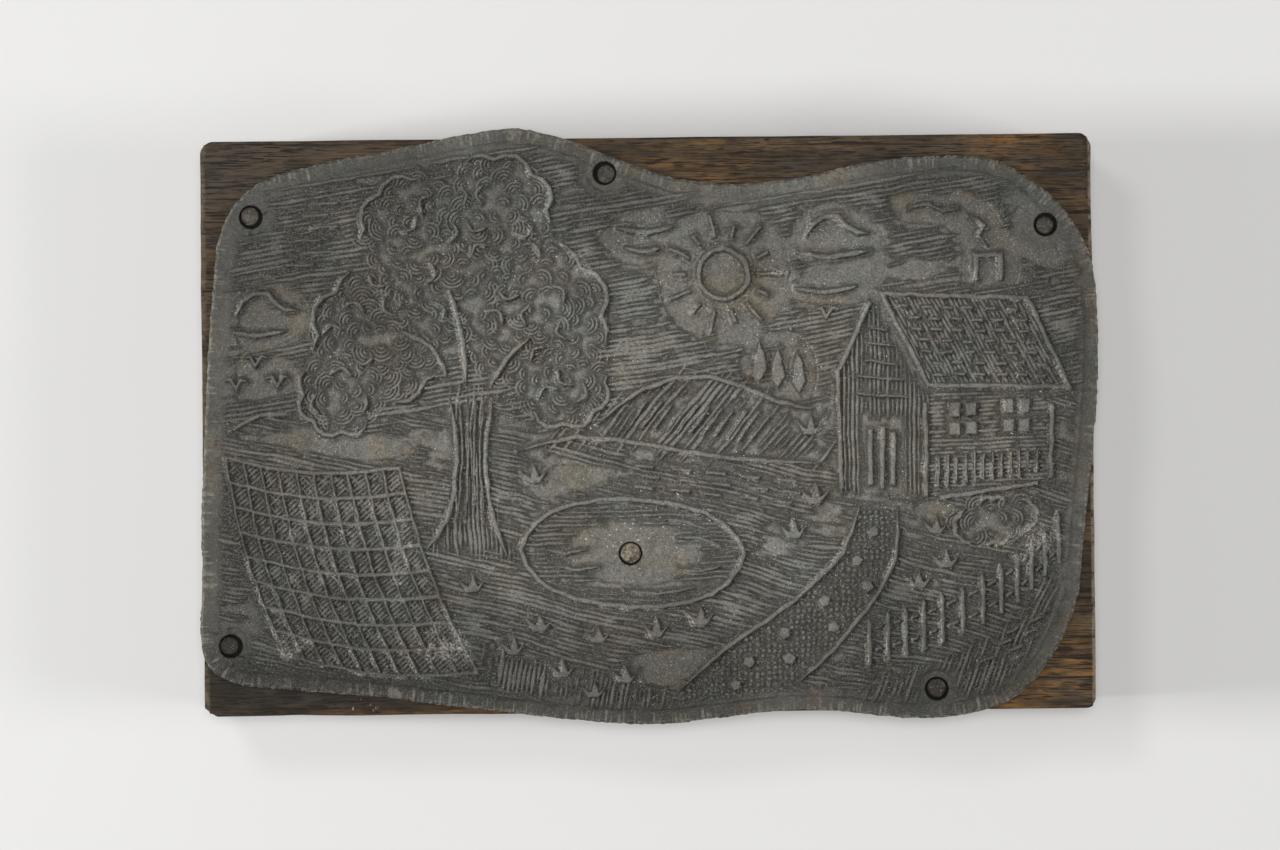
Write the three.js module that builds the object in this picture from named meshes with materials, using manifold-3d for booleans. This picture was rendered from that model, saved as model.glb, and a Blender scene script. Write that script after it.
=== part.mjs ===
// A relief printing plate for letterpress: an etched zinc plate with a wavy sawn outline, pinned by six
// flat-headed nails to a hardwood block that brings its printing face up to type height.
// Millimetres, +Z up. The origin is the middle of the block's underside, +X runs along the block and
// the picture on the plate stands upright along +Y. Places on the face are shares of the block's
// length and width, measured from its middle.
import * as THREE from "three";
import { mergeVertices } from "three/addons/utils/BufferGeometryUtils.js";
import Module from "manifold-3d";

const wasm = await Module();
wasm.setup();

// Driving dimensions
const blockLength = 112;
const blockWidth = 72;
const typeHeight = 23.3; // from the press bed to the printing face
const plateThickness = 1.6;
const reliefDepth = 0.6; // how far the open ground lies below the printing face
const closeDepth = 0.25; // the same between close lines, where the acid bites less deep
const marginWidth = 1.9; // along the plate's edge, as deep as the open ground
const overrun = 1; // how far every cut runs past the piece it cuts

// Wooden block: its upright corners, anticlockwise, and how worn each one is
const corners = [
  { along: 1, across: 1, radius: 1.6, steps: 4 },
  { along: -1, across: 1, radius: 1.5, steps: 4 },
  { along: -1, across: -1, radius: 1.4, steps: 1 }, // chipped off straight
  { along: 1, across: -1, radius: 1.2, steps: 4 },
];
const topArris = 0.4; // worn upper edges
const bottomArris = 0.3;

// Plate edge: places on the sawn outline, anticlockwise from the middle of the left end
const plateOutlineShares = [
  [-0.503, -0.158], [-0.503, -0.27], [-0.504, -0.38], [-0.492, -0.423], [-0.46, -0.447],
  [-0.4, -0.457], [-0.305, -0.471], [-0.187, -0.495], [-0.087, -0.513], [-0.005, -0.523],
  [0.066, -0.515], [0.15, -0.5], [0.213, -0.503], [0.284, -0.516], [0.355, -0.51],
  [0.414, -0.475], [0.458, -0.391], [0.479, -0.31], [0.487, -0.2], [0.496, -0.07],
  [0.504, 0.06], [0.505, 0.17], [0.497, 0.285], [0.47, 0.367], [0.432, 0.42],
  [0.392, 0.457], [0.315, 0.464], [0.235, 0.451], [0.166, 0.428], [0.107, 0.419],
  [0.036, 0.429], [-0.022, 0.458], [-0.083, 0.496], [-0.14, 0.519], [-0.2, 0.511],
  [-0.275, 0.487], [-0.37, 0.46], [-0.441, 0.423], [-0.476, 0.356], [-0.489, 0.225],
  [-0.497, 0.03],
];
const outlineSteps = 120;
const edgeBevelWidth = 0.6; // the upper half of the sawn edge is filed to a slope
const edgeBevelHeight = 0.5;

// Nails
const nailShares = {
  left_top: [-0.444, 0.369],
  middle_top: [-0.047, 0.44],
  right_top: [0.447, 0.343],
  middle: [-0.022, -0.224],
  right_bottom: [0.32, -0.465],
  left_bottom: [-0.471, -0.379],
};
const nailHeadRadius = 1.2;
const nailHeadThickness = 0.5;
const nailHeadCrown = 0.12; // how far the rim of the head is rounded off
const nailShankRadius = 0.7;
const nailLength = 12.7; // below the head
const nailPointLength = 2.2;
const nailPointRadius = 0.1;
const nailSides = 16;
const seatThickness = 0.45; // metal left under each nail head
const headClearance = 0.25; // round the head, in the plate
const shankClearance = 0.15; // round the shank, in the plate
const woodClearance = 0.1; // round the shank and below the point, in the wood

// Lines of the picture, which stand up from the etched ground
const contourWidth = 0.7;
const hatchWidth = 0.5;
const fineWidth = 0.38;
const tipWidth = 0.18; // where a line runs out
const unevenness = 0.12; // rows drawn by hand are out of line by shares of their spacing
const dashShare = 0.8; // of a dash and the gap after it

// Levels that the pieces share
const blockTop = typeHeight - plateThickness;
const seatLevel = blockTop + seatThickness;
const groundLevel = typeHeight - reliefDepth;
const closeLevel = typeHeight - closeDepth;
const lineFootLevel = (seatLevel + groundLevel) / 2; // lines are rooted in the plate
const nailTip = seatLevel - nailLength;
const nailPointTop = nailTip + nailPointLength;

const wood = new THREE.MeshStandardMaterial({ color: 0x4c3a2a, roughness: 0.75, metalness: 0 });
const zinc = new THREE.MeshStandardMaterial({ color: 0x5a5955, roughness: 0.6, metalness: 0.7 });
const iron = new THREE.MeshStandardMaterial({ color: 0x6b675e, roughness: 0.55, metalness: 0.8 });

// A closed geometry as a solid that can be joined and cut
function solidOf(geometry) {
  const bare = geometry.clone();
  for (const name of Object.keys(bare.attributes)) {
    if (name !== "position") {
      bare.deleteAttribute(name);
    }
  }
  const merged = mergeVertices(bare);
  return new wasm.Manifold(
    new wasm.Mesh({
      numProp: 3,
      vertProperties: merged.attributes.position.array,
      triVerts: new Uint32Array(merged.index.array),
    }),
  );
}

// A solid back as a geometry
function geometryOf(solid) {
  const { vertProperties, triVerts } = solid.getMesh();
  const geometry = new THREE.BufferGeometry();
  geometry.setAttribute("position", new THREE.BufferAttribute(new Float32Array(vertProperties), 3));
  geometry.setIndex(new THREE.BufferAttribute(new Uint32Array(triVerts), 1));
  geometry.computeVertexNormals();
  return geometry;
}

// Joins solids two by two, so that no join is larger than it has to be
function joinAll(solids) {
  let left = solids;
  while (left.length > 1) {
    const next = [];
    for (let i = 0; i < left.length; i += 2) {
      next.push(i + 1 < left.length ? left[i].add(left[i + 1]) : left[i]);
    }
    left = next;
  }
  return left[0];
}

// A solid through outlines with the same number of points, given upwards as [points, height]
function stackOf(rings) {
  const count = rings[0][0].length;
  const positions = rings.flatMap(([points, height]) => points.flatMap((p) => [p.x, p.y, height]));
  const indices = [];
  for (let ring = 0; ring + 1 < rings.length; ring += 1) {
    for (let i = 0; i < count; i += 1) {
      const a = ring * count + i;
      const b = ring * count + ((i + 1) % count);
      indices.push(a, b, b + count, a, b + count, a + count);
    }
  }
  for (const [a, b, c] of THREE.ShapeUtils.triangulateShape(rings[0][0], [])) {
    indices.push(a, c, b);
  }
  const lastStart = (rings.length - 1) * count;
  for (const [a, b, c] of THREE.ShapeUtils.triangulateShape(rings[rings.length - 1][0], [])) {
    indices.push(lastStart + a, lastStart + b, lastStart + c);
  }
  const geometry = new THREE.BufferGeometry();
  geometry.setAttribute("position", new THREE.Float32BufferAttribute(positions, 3));
  geometry.setIndex(indices);
  return geometry;
}

// A round piece from [radius, height] pairs, given upwards, that stands at a place on the face
function turned(profile, place) {
  const bottom = [0, profile[0][1]];
  const top = [0, profile[profile.length - 1][1]];
  const points = [bottom, ...profile, top].map(([radius, height]) => new THREE.Vector2(radius, height));
  return new THREE.LatheGeometry(points, nailSides).rotateX(Math.PI / 2).translate(place.x, place.y, 0);
}

// A place on the face from its shares
function placeOf([alongShare, acrossShare]) {
  return new THREE.Vector2(alongShare * blockLength, acrossShare * blockWidth);
}

// A smooth line through places given as shares
function smoothLine(shares, steps, closed = false) {
  const places = shares.map(placeOf).map((place) => new THREE.Vector3(place.x, place.y, 0));
  const curve = new THREE.CatmullRomCurve3(places, closed, "centripetal");
  const points = curve.getPoints(steps).map((p) => new THREE.Vector2(p.x, p.y));
  return closed ? points.slice(0, -1) : points;
}

// The way to the right of a line at one of its points, longer at a bend so that the width stays even
function sideAt(points, i, closed) {
  const count = points.length;
  const sides = [i - 1, i]
    .filter((k) => closed || (k >= 0 && k + 1 < count))
    .map((k) => {
      const along = points[(k + 1) % count].clone().sub(points[(k + count) % count]).normalize();
      return new THREE.Vector2(along.y, -along.x);
    });
  const [first, second = first] = sides;
  return first.clone().add(second).divideScalar(1 + first.dot(second));
}

// A line moved to its right by a distance at each point
function besideLine(points, distances, closed) {
  return points.map((p, i) => p.clone().addScaledVector(sideAt(points, i, closed), distances[i]));
}

// The block's outline, drawn in from its sides
function blockOutline(inset) {
  return corners.flatMap(({ along, across, radius, steps }, turn) =>
    Array.from({ length: steps + 1 }, (_, i) => {
      const angle = (turn + i / steps) * (Math.PI / 2);
      return new THREE.Vector2(
        along * (blockLength / 2 - radius) + (radius - inset) * Math.cos(angle),
        across * (blockWidth / 2 - radius) + (radius - inset) * Math.sin(angle),
      );
    }),
  );
}

function woodBlock() {
  const blank = stackOf([
    [blockOutline(bottomArris), 0],
    [blockOutline(0), bottomArris],
    [blockOutline(0), blockTop - topArris],
    [blockOutline(topArris), blockTop],
  ]);
  const hole = [
    [nailPointRadius + woodClearance, nailTip - woodClearance],
    [nailShankRadius + woodClearance, nailPointTop],
    [nailShankRadius + woodClearance, blockTop + overrun],
  ];
  const holes = Object.values(nailShares).map((share) => solidOf(turned(hole, placeOf(share))));
  return geometryOf(holes.reduce((block, bored) => block.subtract(bored), solidOf(blank)));
}

function nail(share) {
  const headTop = seatLevel + nailHeadThickness;
  const profile = [
    [nailPointRadius, nailTip],
    [nailShankRadius, nailPointTop],
    [nailShankRadius, seatLevel],
    [nailHeadRadius, seatLevel],
    [nailHeadRadius, headTop - nailHeadCrown],
    [nailHeadRadius - nailHeadCrown, headTop],
  ];
  return turned(profile, placeOf(share));
}

// An upright solid between two levels, from its outline and the gaps in it
function prism(outline, gaps, foot, top) {
  const shape = new THREE.Shape(outline);
  shape.holes = gaps.map((gap) => new THREE.Path(gap));
  const geometry = new THREE.ExtrudeGeometry(shape, { depth: top - foot, bevelEnabled: false });
  return solidOf(geometry.translate(0, 0, foot));
}

// A raised island of the picture, with its flat top in the printing face
function island(outline, gaps = []) {
  return prism(outline, gaps, lineFootLevel, typeHeight);
}

// A raised line along points, which runs out at both ends unless it is blunt
function line(points, width, blunt = false) {
  const halves = points.map((_, i) => {
    const fullness = blunt ? 1 : Math.min(1, 2 * Math.sin((Math.PI * i) / (points.length - 1)));
    return (tipWidth + (width - tipWidth) * fullness) / 2;
  });
  const right = besideLine(points, halves, false);
  const left = besideLine(points, halves.map((half) => -half), false);
  return island([...right, ...left.reverse()]);
}

// A raised line that closes on itself, given anticlockwise
function loop(points, width) {
  const halves = points.map(() => width / 2);
  const outside = besideLine(points, halves, true);
  const inside = besideLine(points, halves.map((half) => -half), true);
  return island(outside, [inside]);
}

function curved(shares, width = contourWidth, steps = 6) {
  return line(smoothLine(shares, steps), width);
}

function straight(shares, width = contourWidth) {
  return line(shares.map(placeOf), width, true);
}

// A number from -0.5 to 0.5 that differs from row to row
function uneven(i) {
  return ((i * 0.618) % 1) - 0.5;
}

// The place at a part of the way between two
function between(from, to, part) {
  return from.map((value, k) => value + (to[k] - value) * part);
}

// The place across and up between four corners, given anticlockwise from the lower left
function within([a, b, c, d], across, up) {
  return between(between(a, b, across), between(d, c, across), up);
}

// Rows of dashes between four corners, every other row moved on by part of a dash
function dashes(area, rows, columns, width) {
  return Array.from({ length: rows * columns }, (_, k) => {
    const row = Math.floor(k / columns);
    const shift = row % 2 ? 1 - dashShare : 0;
    const start = (k % columns) + shift + unevenness * (1 + uneven(k));
    const end = start + dashShare - 2 * unevenness;
    const up = (row + 0.5 + unevenness * uneven(row + k)) / rows;
    return straight([within(area, start / columns, up), within(area, end / columns, up)], width);
  });
}

// Lines side by side between four corners, from the first side to the one opposite
function rungs(area, count, width) {
  return Array.from({ length: count }, (_, i) => {
    const across = (i + 0.5 + unevenness * uneven(i)) / count;
    const shortening = unevenness * (0.5 + uneven(i + 1));
    return straight([within(area, across, shortening), within(area, across, 1 - shortening)], width);
  });
}

// The place at an angle and a distance, a share of the block's length, from another
function around([along, across], angle, radiusShare) {
  return [
    along + radiusShare * Math.cos(angle),
    across + radiusShare * Math.sin(angle) * (blockLength / blockWidth),
  ];
}

// Places evenly round a circle
function circle(middle, radiusShare, count, start = 0) {
  return Array.from({ length: count }, (_, i) =>
    around(middle, ((i + start) / count) * 2 * Math.PI, radiusShare),
  );
}

// Sun
const sunShare = [0.085, 0.262];
const sunRadiusShare = 0.028;
const sunSteps = 16;
const rayStartShare = 0.041;
const rayEndShares = [0.068, 0.056];
const rayCount = 14;

function sun() {
  const rays = circle(sunShare, rayStartShare, rayCount).map((start, i) => {
    const end = circle(sunShare, rayEndShares[i % rayEndShares.length], rayCount)[i];
    return straight([start, end], hatchWidth);
  });
  return [loop(circle(sunShare, sunRadiusShare, sunSteps).map(placeOf), contourWidth), ...rays];
}

// Clouds and birds
const cloudShares = [
  [[-0.468, 0.17], [-0.44, 0.162], [-0.405, 0.17]],
  [[-0.46, 0.2], [-0.45, 0.23], [-0.425, 0.235], [-0.412, 0.21], [-0.392, 0.205]],
  [[0.165, 0.3], [0.205, 0.29], [0.25, 0.3]],
  [[0.178, 0.325], [0.19, 0.355], [0.215, 0.36], [0.23, 0.335], [0.25, 0.33]],
  [[0.165, 0.235], [0.2, 0.228], [0.235, 0.238]],
  [[-0.035, 0.345], [0.0, 0.335], [0.03, 0.345]],
  [[-0.025, 0.31], [-0.005, 0.302], [0.015, 0.308]],
];
const birdShares = [[-0.44, 0.11], [-0.415, 0.075], [-0.462, 0.07], [0.2, 0.185]];
const wingShares = [[-0.014, 0.012], [-0.006, 0.016], [0, 0], [0.006, 0.016], [0.014, 0.012]];

function sky() {
  return [
    ...cloudShares.map((shares) => curved(shares)),
    ...birdShares.map(([along, across]) =>
      curved(wingShares.map((wing) => [along + wing[0], across + wing[1]]), hatchWidth, 8),
    ),
  ];
}

// Trees: a crown of leafy lobes, each with its middle and its radius, and a bush of the same kind
const crownLobeShares = [
  [[-0.3, 0.16], 0.07], [[-0.215, 0.275], 0.084], [[-0.13, 0.19], 0.078], [[-0.17, 0.375], 0.058],
  [[-0.262, 0.345], 0.055], [[-0.345, 0.06], 0.043], [[-0.095, 0.075], 0.046],
];
const bushLobeShares = [[[0.386, -0.172], 0.024], [[0.415, -0.165], 0.017], [[0.36, -0.182], 0.017]];
const scallopCount = 8; // round a whole lobe
const scallopShare = 0.14;
const scallopSteps = 4;
const lobeGapShare = 0.16; // a rim stops this share of a radius short of its neighbour
const trunkLeftShares = [[-0.25, -0.215], [-0.228, -0.165], [-0.216, -0.06], [-0.222, 0.05]];
const trunkRightShares = [[-0.16, -0.225], [-0.174, -0.17], [-0.184, -0.06], [-0.174, 0.05]];
const branchShares = [
  [[-0.226, 0.09], [-0.244, 0.14], [-0.278, 0.17]],
  [[-0.205, 0.075], [-0.208, 0.15], [-0.222, 0.24]],
  [[-0.176, 0.07], [-0.158, 0.12], [-0.132, 0.155]],
];
const barkCount = 4;
const curlShares = [
  [-0.33, 0.2], [-0.285, 0.215], [-0.25, 0.27], [-0.185, 0.3], [-0.155, 0.24], [-0.105, 0.225],
  [-0.178, 0.405], [-0.27, 0.36], [-0.345, 0.085], [-0.09, 0.09], [-0.225, 0.34], [-0.12, 0.12],
  [-0.32, 0.13], [-0.175, 0.185], [-0.365, 0.045], [-0.328, 0.045], [-0.352, 0.16], [-0.3, 0.265],
  [-0.215, 0.4], [-0.242, 0.385], [-0.14, 0.35], [-0.132, 0.3], [-0.09, 0.17], [-0.082, 0.06],
  [-0.11, 0.05], [-0.19, 0.36], [-0.24, 0.2], [-0.13, 0.19],
];
const curlRadiusShare = 0.013;
const curlSteps = 5; // round a whole circle, of which a curl takes three
const curlTurn = 1.9; // in steps, from one curl to the next

function lobePlace([middle, radiusShare], angle) {
  const scallop = 1 + scallopShare * Math.abs(Math.sin((scallopCount * angle) / 2));
  return around(middle, angle, radiusShare * scallop);
}

// The stretches of a lobe's rim that lie outside the other lobes
function lobeRims(lobe, lobes) {
  const isOpen = (share) =>
    lobes.every(([middle, radiusShare]) => {
      const reach = radiusShare * (1 + scallopShare + lobeGapShare) * blockLength;
      return middle === lobe[0] || placeOf(middle).distanceTo(placeOf(share)) > reach;
    });
  const steps = scallopCount * scallopSteps;
  const shares = Array.from({ length: steps }, (_, i) => lobePlace(lobe, (i / steps) * 2 * Math.PI));
  const hidden = shares.findIndex((share) => !isOpen(share));
  const rims = [[]];
  for (const share of [...shares.slice(hidden), ...shares.slice(0, hidden)]) {
    if (isOpen(share)) {
      rims[rims.length - 1].push(placeOf(share));
    } else {
      rims.push([]);
    }
  }
  return rims.filter((rim) => rim.length > scallopSteps).map((rim) => line(rim, contourWidth));
}

function trees() {
  const bark = Array.from({ length: barkCount }, (_, i) => {
    const across = (i + 1) / (barkCount + 1);
    const shares = trunkLeftShares.map((left, k) => between(left, trunkRightShares[k], across));
    return curved(shares.slice(1), fineWidth, 4);
  });
  const curls = curlShares.map((middle, i) =>
    curved(circle(middle, curlRadiusShare, curlSteps, i * curlTurn).slice(0, 3), hatchWidth),
  );
  return [
    ...crownLobeShares.flatMap((lobe) => lobeRims(lobe, crownLobeShares)),
    ...bushLobeShares.flatMap((lobe) => lobeRims(lobe, bushLobeShares)),
    ...[trunkLeftShares, trunkRightShares, ...branchShares].map((shares) => curved(shares)),
    ...bark,
    ...curls,
  ];
}

// Hills and poplars behind the pond
const hillShares = [
  [[-0.47, -0.005], [-0.44, 0.02], [-0.418, 0.026], [-0.4, 0.022]],
  [[-0.06, 0.0], [-0.02, 0.05], [0.04, 0.085], [0.1, 0.07], [0.15, 0.035], [0.19, 0.025]],
  [[-0.15, -0.045], [-0.08, -0.02], [0, -0.035], [0.09, -0.06], [0.2, -0.07]],
];
const slopeShares = [[-0.03, -0.005], [0.12, -0.035], [0.145, 0.02], [-0.005, 0.045]];
const slopeLines = 11;
const poplarShares = [[0.125, 0.072], [0.145, 0.06], [0.168, 0.052]];
const poplarHalfWidthShare = 0.008;
const poplarHeightShare = 0.075;
const poplarOutlineShares = [[0, 0], [1, 0.3], [0.7, 0.7], [0, 1], [-0.7, 0.65], [-1, 0.25]];

function hills() {
  const poplars = poplarShares.map(([along, across]) =>
    island(
      poplarOutlineShares.map(([side, up]) =>
        placeOf([along + side * poplarHalfWidthShare, across + up * poplarHeightShare]),
      ),
    ),
  );
  return [
    ...hillShares.map((shares) => curved(shares, contourWidth, 8)),
    ...rungs(slopeShares, slopeLines, fineWidth),
    ...poplars,
  ];
}

// Cottage: a gable end on the left and a long side under a tiled roof
const roofShares = [[0.262, 0.225], [0.314, 0.065], [0.472, 0.06], [0.425, 0.215]];
const wallShares = [
  [[0.25, 0.212], [0.212, 0.09], [0.215, -0.115]],
  [[0.31, 0.035], [0.31, -0.13]],
  [[0.452, 0.03], [0.45, -0.1]],
  [[0.325, -0.133], [0.437, -0.106]],
];
const chimneyShares = [[0.368, 0.245], [0.368, 0.29], [0.396, 0.29], [0.396, 0.245]];
const tilesShares = [[0.32, 0.075], [0.458, 0.07], [0.42, 0.205], [0.274, 0.212]];
const tileRows = 7;
const tileColumns = 6;
const gableShares = [[0.3, 0.03], [0.266, 0.175], [0.252, 0.18], [0.223, 0.04]];
const gableBoards = 5;
const sideBoardShares = [[0.32, -0.118], [0.44, -0.09], [0.44, -0.045], [0.32, -0.055]];
const sideBoards = 12;
const doorShares = [[0.243, -0.118], [0.28, -0.122], [0.28, -0.005], [0.243, 0.0]];
const doorBoards = 3;
const windowShares = [[0.352, 0.005], [0.412, 0.01]];
const paneShares = [[-0.009, -0.017], [0.009, -0.016], [0.009, 0.018], [-0.009, 0.017]];
const paneHalfWidthShare = 0.0065;
const paneHalfHeightShare = 0.0125;
const smokeShares = [
  [[0.382, 0.305], [0.372, 0.325], [0.377, 0.342], [0.36, 0.36]],
  [[0.35, 0.372], [0.332, 0.367], [0.316, 0.379], [0.292, 0.374]],
];

function cottage() {
  const panes = windowShares.flatMap((middle) =>
    paneShares.map((pane) =>
      island(
        [[-1, -1], [1, -1], [1, 1], [-1, 1]].map(([side, up]) =>
          placeOf([
            middle[0] + pane[0] + side * paneHalfWidthShare,
            middle[1] + pane[1] + up * paneHalfHeightShare,
          ]),
        ),
      ),
    ),
  );
  return [
    loop(roofShares.map(placeOf), contourWidth),
    ...[...wallShares, chimneyShares].map((shares) => straight(shares)),
    ...dashes(tilesShares, tileRows, tileColumns, hatchWidth),
    ...rungs(gableShares, gableBoards, fineWidth),
    ...rungs(sideBoardShares, sideBoards, fineWidth),
    ...rungs(doorShares, doorBoards, contourWidth),
    ...panes,
    ...smokeShares.map((shares) => curved(shares, hatchWidth)),
  ];
}

// Pond, still in the middle, with ripples by its banks
const pondShares = [
  [-0.145, -0.215], [-0.12, -0.275], [-0.06, -0.31], [0.02, -0.315], [0.08, -0.285],
  [0.105, -0.225], [0.075, -0.165], [0.01, -0.135], [-0.06, -0.13], [-0.12, -0.16],
];
const pondSteps = 24;
const rippleShares = [
  [[-0.118, -0.215], [-0.095, -0.222], [-0.07, -0.216]],
  [[-0.105, -0.245], [-0.08, -0.252], [-0.056, -0.246]],
  [[0.015, -0.165], [0.045, -0.172], [0.068, -0.186]],
  [[0.03, -0.195], [0.058, -0.2], [0.083, -0.214]],
  [[-0.03, -0.288], [0.01, -0.293], [0.05, -0.284]],
  [[0.03, -0.252], [0.056, -0.256], [0.083, -0.246]],
];

function pond() {
  return [
    loop(smoothLine(pondShares, pondSteps, true), contourWidth),
    ...rippleShares.map((shares) => curved(shares, hatchWidth, 4)),
  ];
}

// Ploughed field at the lower left, cross-ruled by furrows and cart tracks
const fieldShares = [[-0.41, -0.395], [-0.195, -0.43], [-0.28, -0.07], [-0.474, -0.05]];
const fieldBowShares = [-0.01, -0.018];
const furrows = 10;
const tracks = 8;

function field() {
  const place = (i, j) => {
    const [along, across] = within(fieldShares, i / furrows, j / tracks);
    return placeOf([
      along + fieldBowShares[0] * Math.sin((Math.PI * j) / tracks),
      across + fieldBowShares[1] * Math.sin((Math.PI * i) / furrows),
    ]);
  };
  const half = hatchWidth / 2 / place(0, 0).distanceTo(place(1, 0)); // of a line, as a share of a gap
  const gaps = Array.from({ length: furrows * tracks }, (_, k) => {
    const i = k % furrows;
    const j = Math.floor(k / furrows);
    return [
      place(i + half, j + half),
      place(i + 1 - half, j + half),
      place(i + 1 - half, j + 1 - half),
      place(i + half, j + 1 - half),
    ];
  });
  const rim = (part, count) => part * (count + 2 * half) - half; // out past the outermost lines
  const outline = [
    ...Array.from({ length: furrows }, (_, i) => place(rim(i / furrows, furrows), -half)),
    ...Array.from({ length: tracks }, (_, j) => place(furrows + half, rim(j / tracks, tracks))),
    ...Array.from({ length: furrows }, (_, i) => place(rim(1 - i / furrows, furrows), tracks + half)),
    ...Array.from({ length: tracks }, (_, j) => place(-half, rim(1 - j / tracks, tracks))),
  ];
  return [island(outline, gaps)];
}

// Path from the door to the lower edge, with stones
const pathShares = [
  [[0.236, -0.145], [0.215, -0.225], [0.16, -0.31], [0.085, -0.39], [0.03, -0.465]],
  [[0.278, -0.15], [0.275, -0.235], [0.24, -0.33], [0.2, -0.4], [0.165, -0.452]],
];
const stoneShares = [
  [0.25, -0.19], [0.232, -0.24], [0.243, -0.285], [0.195, -0.31], [0.205, -0.355],
  [0.15, -0.365], [0.155, -0.41], [0.11, -0.415], [0.095, -0.455],
];
const stoneRadiusShare = 0.008;
const stoneSides = 5;

function path() {
  return [
    ...pathShares.map((shares) => curved(shares, contourWidth, 8)),
    ...stoneShares.map((middle, i) =>
      island(circle(middle, stoneRadiusShare, stoneSides, uneven(i)).map(placeOf)),
    ),
  ];
}

// Picket fence at the lower right: pickets along a smooth foot line, and rails between them
const fenceShares = [[0.245, -0.425], [0.32, -0.39], [0.4, -0.33], [0.458, -0.25]];
const picketCount = 12;
const picketHeight = 6.6;
const picketPointHeight = 1;
const railHeights = [1.9, 4.6];
const railGap = 0.3; // between a picket and a rail

function fence() {
  const feet = smoothLine(fenceShares, picketCount - 1);
  const pickets = feet.map((foot, i) => {
    const height = picketHeight * (1 + unevenness * uneven(i));
    const side = contourWidth / 2;
    return island([
      new THREE.Vector2(foot.x - side, foot.y),
      new THREE.Vector2(foot.x + side, foot.y),
      new THREE.Vector2(foot.x + side, foot.y + height - picketPointHeight),
      new THREE.Vector2(foot.x, foot.y + height),
      new THREE.Vector2(foot.x - side, foot.y + height - picketPointHeight),
    ]);
  });
  const rails = feet.slice(1).flatMap((foot, i) =>
    railHeights.map((height) => {
      const inset = (contourWidth / 2 + railGap) / foot.distanceTo(feet[i]);
      const ends = [inset, 1 - inset].map((part) => feet[i].clone().lerp(foot, part));
      return line(ends.map((end) => end.setY(end.y + height)), hatchWidth, true);
    }),
  );
  return [...pickets, ...rails];
}

// Tone: areas of short lines in the sky and on the ground
const toneAreas = [
  { shares: [[-0.412, 0.275], [-0.352, 0.275], [-0.335, 0.405], [-0.385, 0.4]], rows: 6, columns: 1 },
  { shares: [[-0.02, -0.115], [0.17, -0.15], [0.18, -0.095], [-0.02, -0.06]], rows: 3, columns: 5 },
  { shares: [[0.36, -0.43], [0.42, -0.4], [0.455, -0.32], [0.4, -0.36]], rows: 3, columns: 2 },
];

function tone() {
  return toneAreas.flatMap(({ shares, rows, columns }) => dashes(shares, rows, columns, hatchWidth));
}

// Grass: tufts of three blades, each tuft one outline
const tuftShares = [
  [0.32, -0.195], [0.33, -0.255], [0.3, -0.29], [0.16, -0.2], [-0.125, -0.36],
  [-0.06, -0.38], [0.005, -0.37], [-0.1, -0.44], [0.055, -0.35], [-0.2, -0.29], [-0.03, -0.45],
  [0.185, -0.14], [-0.13, -0.1], [-0.065, -0.475], [0.18, -0.02], [-0.155, -0.4],
];
const tuftSize = 2.6;
const tuftOutlineShares = [
  [-0.3, 0], [0.3, 0], [0.75, 0.7], [0.3, 0.35], [0.08, 1], [-0.15, 0.35], [-0.7, 0.75],
];

function grass() {
  return tuftShares.map((share, i) => {
    const foot = placeOf(share);
    const size = tuftSize * (1 + unevenness * uneven(i));
    return island(
      tuftOutlineShares.map(([side, up]) => new THREE.Vector2(foot.x + side * size, foot.y + up * size)),
    );
  });
}

// Open ground, etched to its full depth, as closed outlines: round the sun, the clouds, the smoke,
// the poplars and the birds, and then patches of meadow and sky
const openShares = [
  [
    [0.162, 0.262], [0.143, 0.352], [0.085, 0.39], [0.03, 0.355],
    [0.008, 0.262], [0.03, 0.172], [0.085, 0.136], [0.142, 0.176],
  ],
  [[-0.488, 0.17], [-0.475, 0.232], [-0.438, 0.262], [-0.392, 0.24], [-0.378, 0.186], [-0.42, 0.138]],
  [
    [0.156, 0.312], [0.172, 0.37], [0.212, 0.388], [0.25, 0.362],
    [0.27, 0.31], [0.252, 0.212], [0.2, 0.204], [0.153, 0.222], [0.176, 0.27],
  ],
  [[-0.058, 0.326], [-0.02, 0.372], [0.024, 0.37], [0.018, 0.288], [-0.028, 0.278]],
  [
    [0.35, 0.24], [0.352, 0.3], [0.33, 0.342], [0.28, 0.35], [0.268, 0.396],
    [0.33, 0.404], [0.378, 0.392], [0.4, 0.34], [0.416, 0.3], [0.414, 0.236],
  ],
  [[0.11, 0.056], [0.104, 0.146], [0.146, 0.166], [0.186, 0.13], [0.186, 0.046], [0.145, 0.034]],
  [[-0.492, 0.07], [-0.452, 0.14], [-0.418, 0.132], [-0.388, 0.08], [-0.44, 0.046]],
  [[-0.445, -0.022], [-0.4, 0.004], [-0.34, -0.002], [-0.262, -0.03], [-0.28, -0.056], [-0.37, -0.05]],
  [[-0.148, -0.082], [-0.1, -0.066], [-0.03, -0.078], [-0.062, -0.108], [-0.128, -0.128]],
  [[-0.026, -0.408], [0.024, -0.39], [0.072, -0.4], [0.05, -0.444], [-0.004, -0.456]],
  [[0.404, 0.352], [0.44, 0.4], [0.476, 0.32], [0.462, 0.262], [0.42, 0.286]],
  [[0.292, -0.148], [0.33, -0.132], [0.344, -0.162], [0.318, -0.192]],
];
const openSteps = 2; // from each place of an outline to the next
const calmShare = 0.62; // of the pond's width, in which the water is still
const nailClearing = 2.5; // radius of the open ground round a nail
const clearingSides = 10;
const closeSteps = 60; // round the ground between close lines

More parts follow.
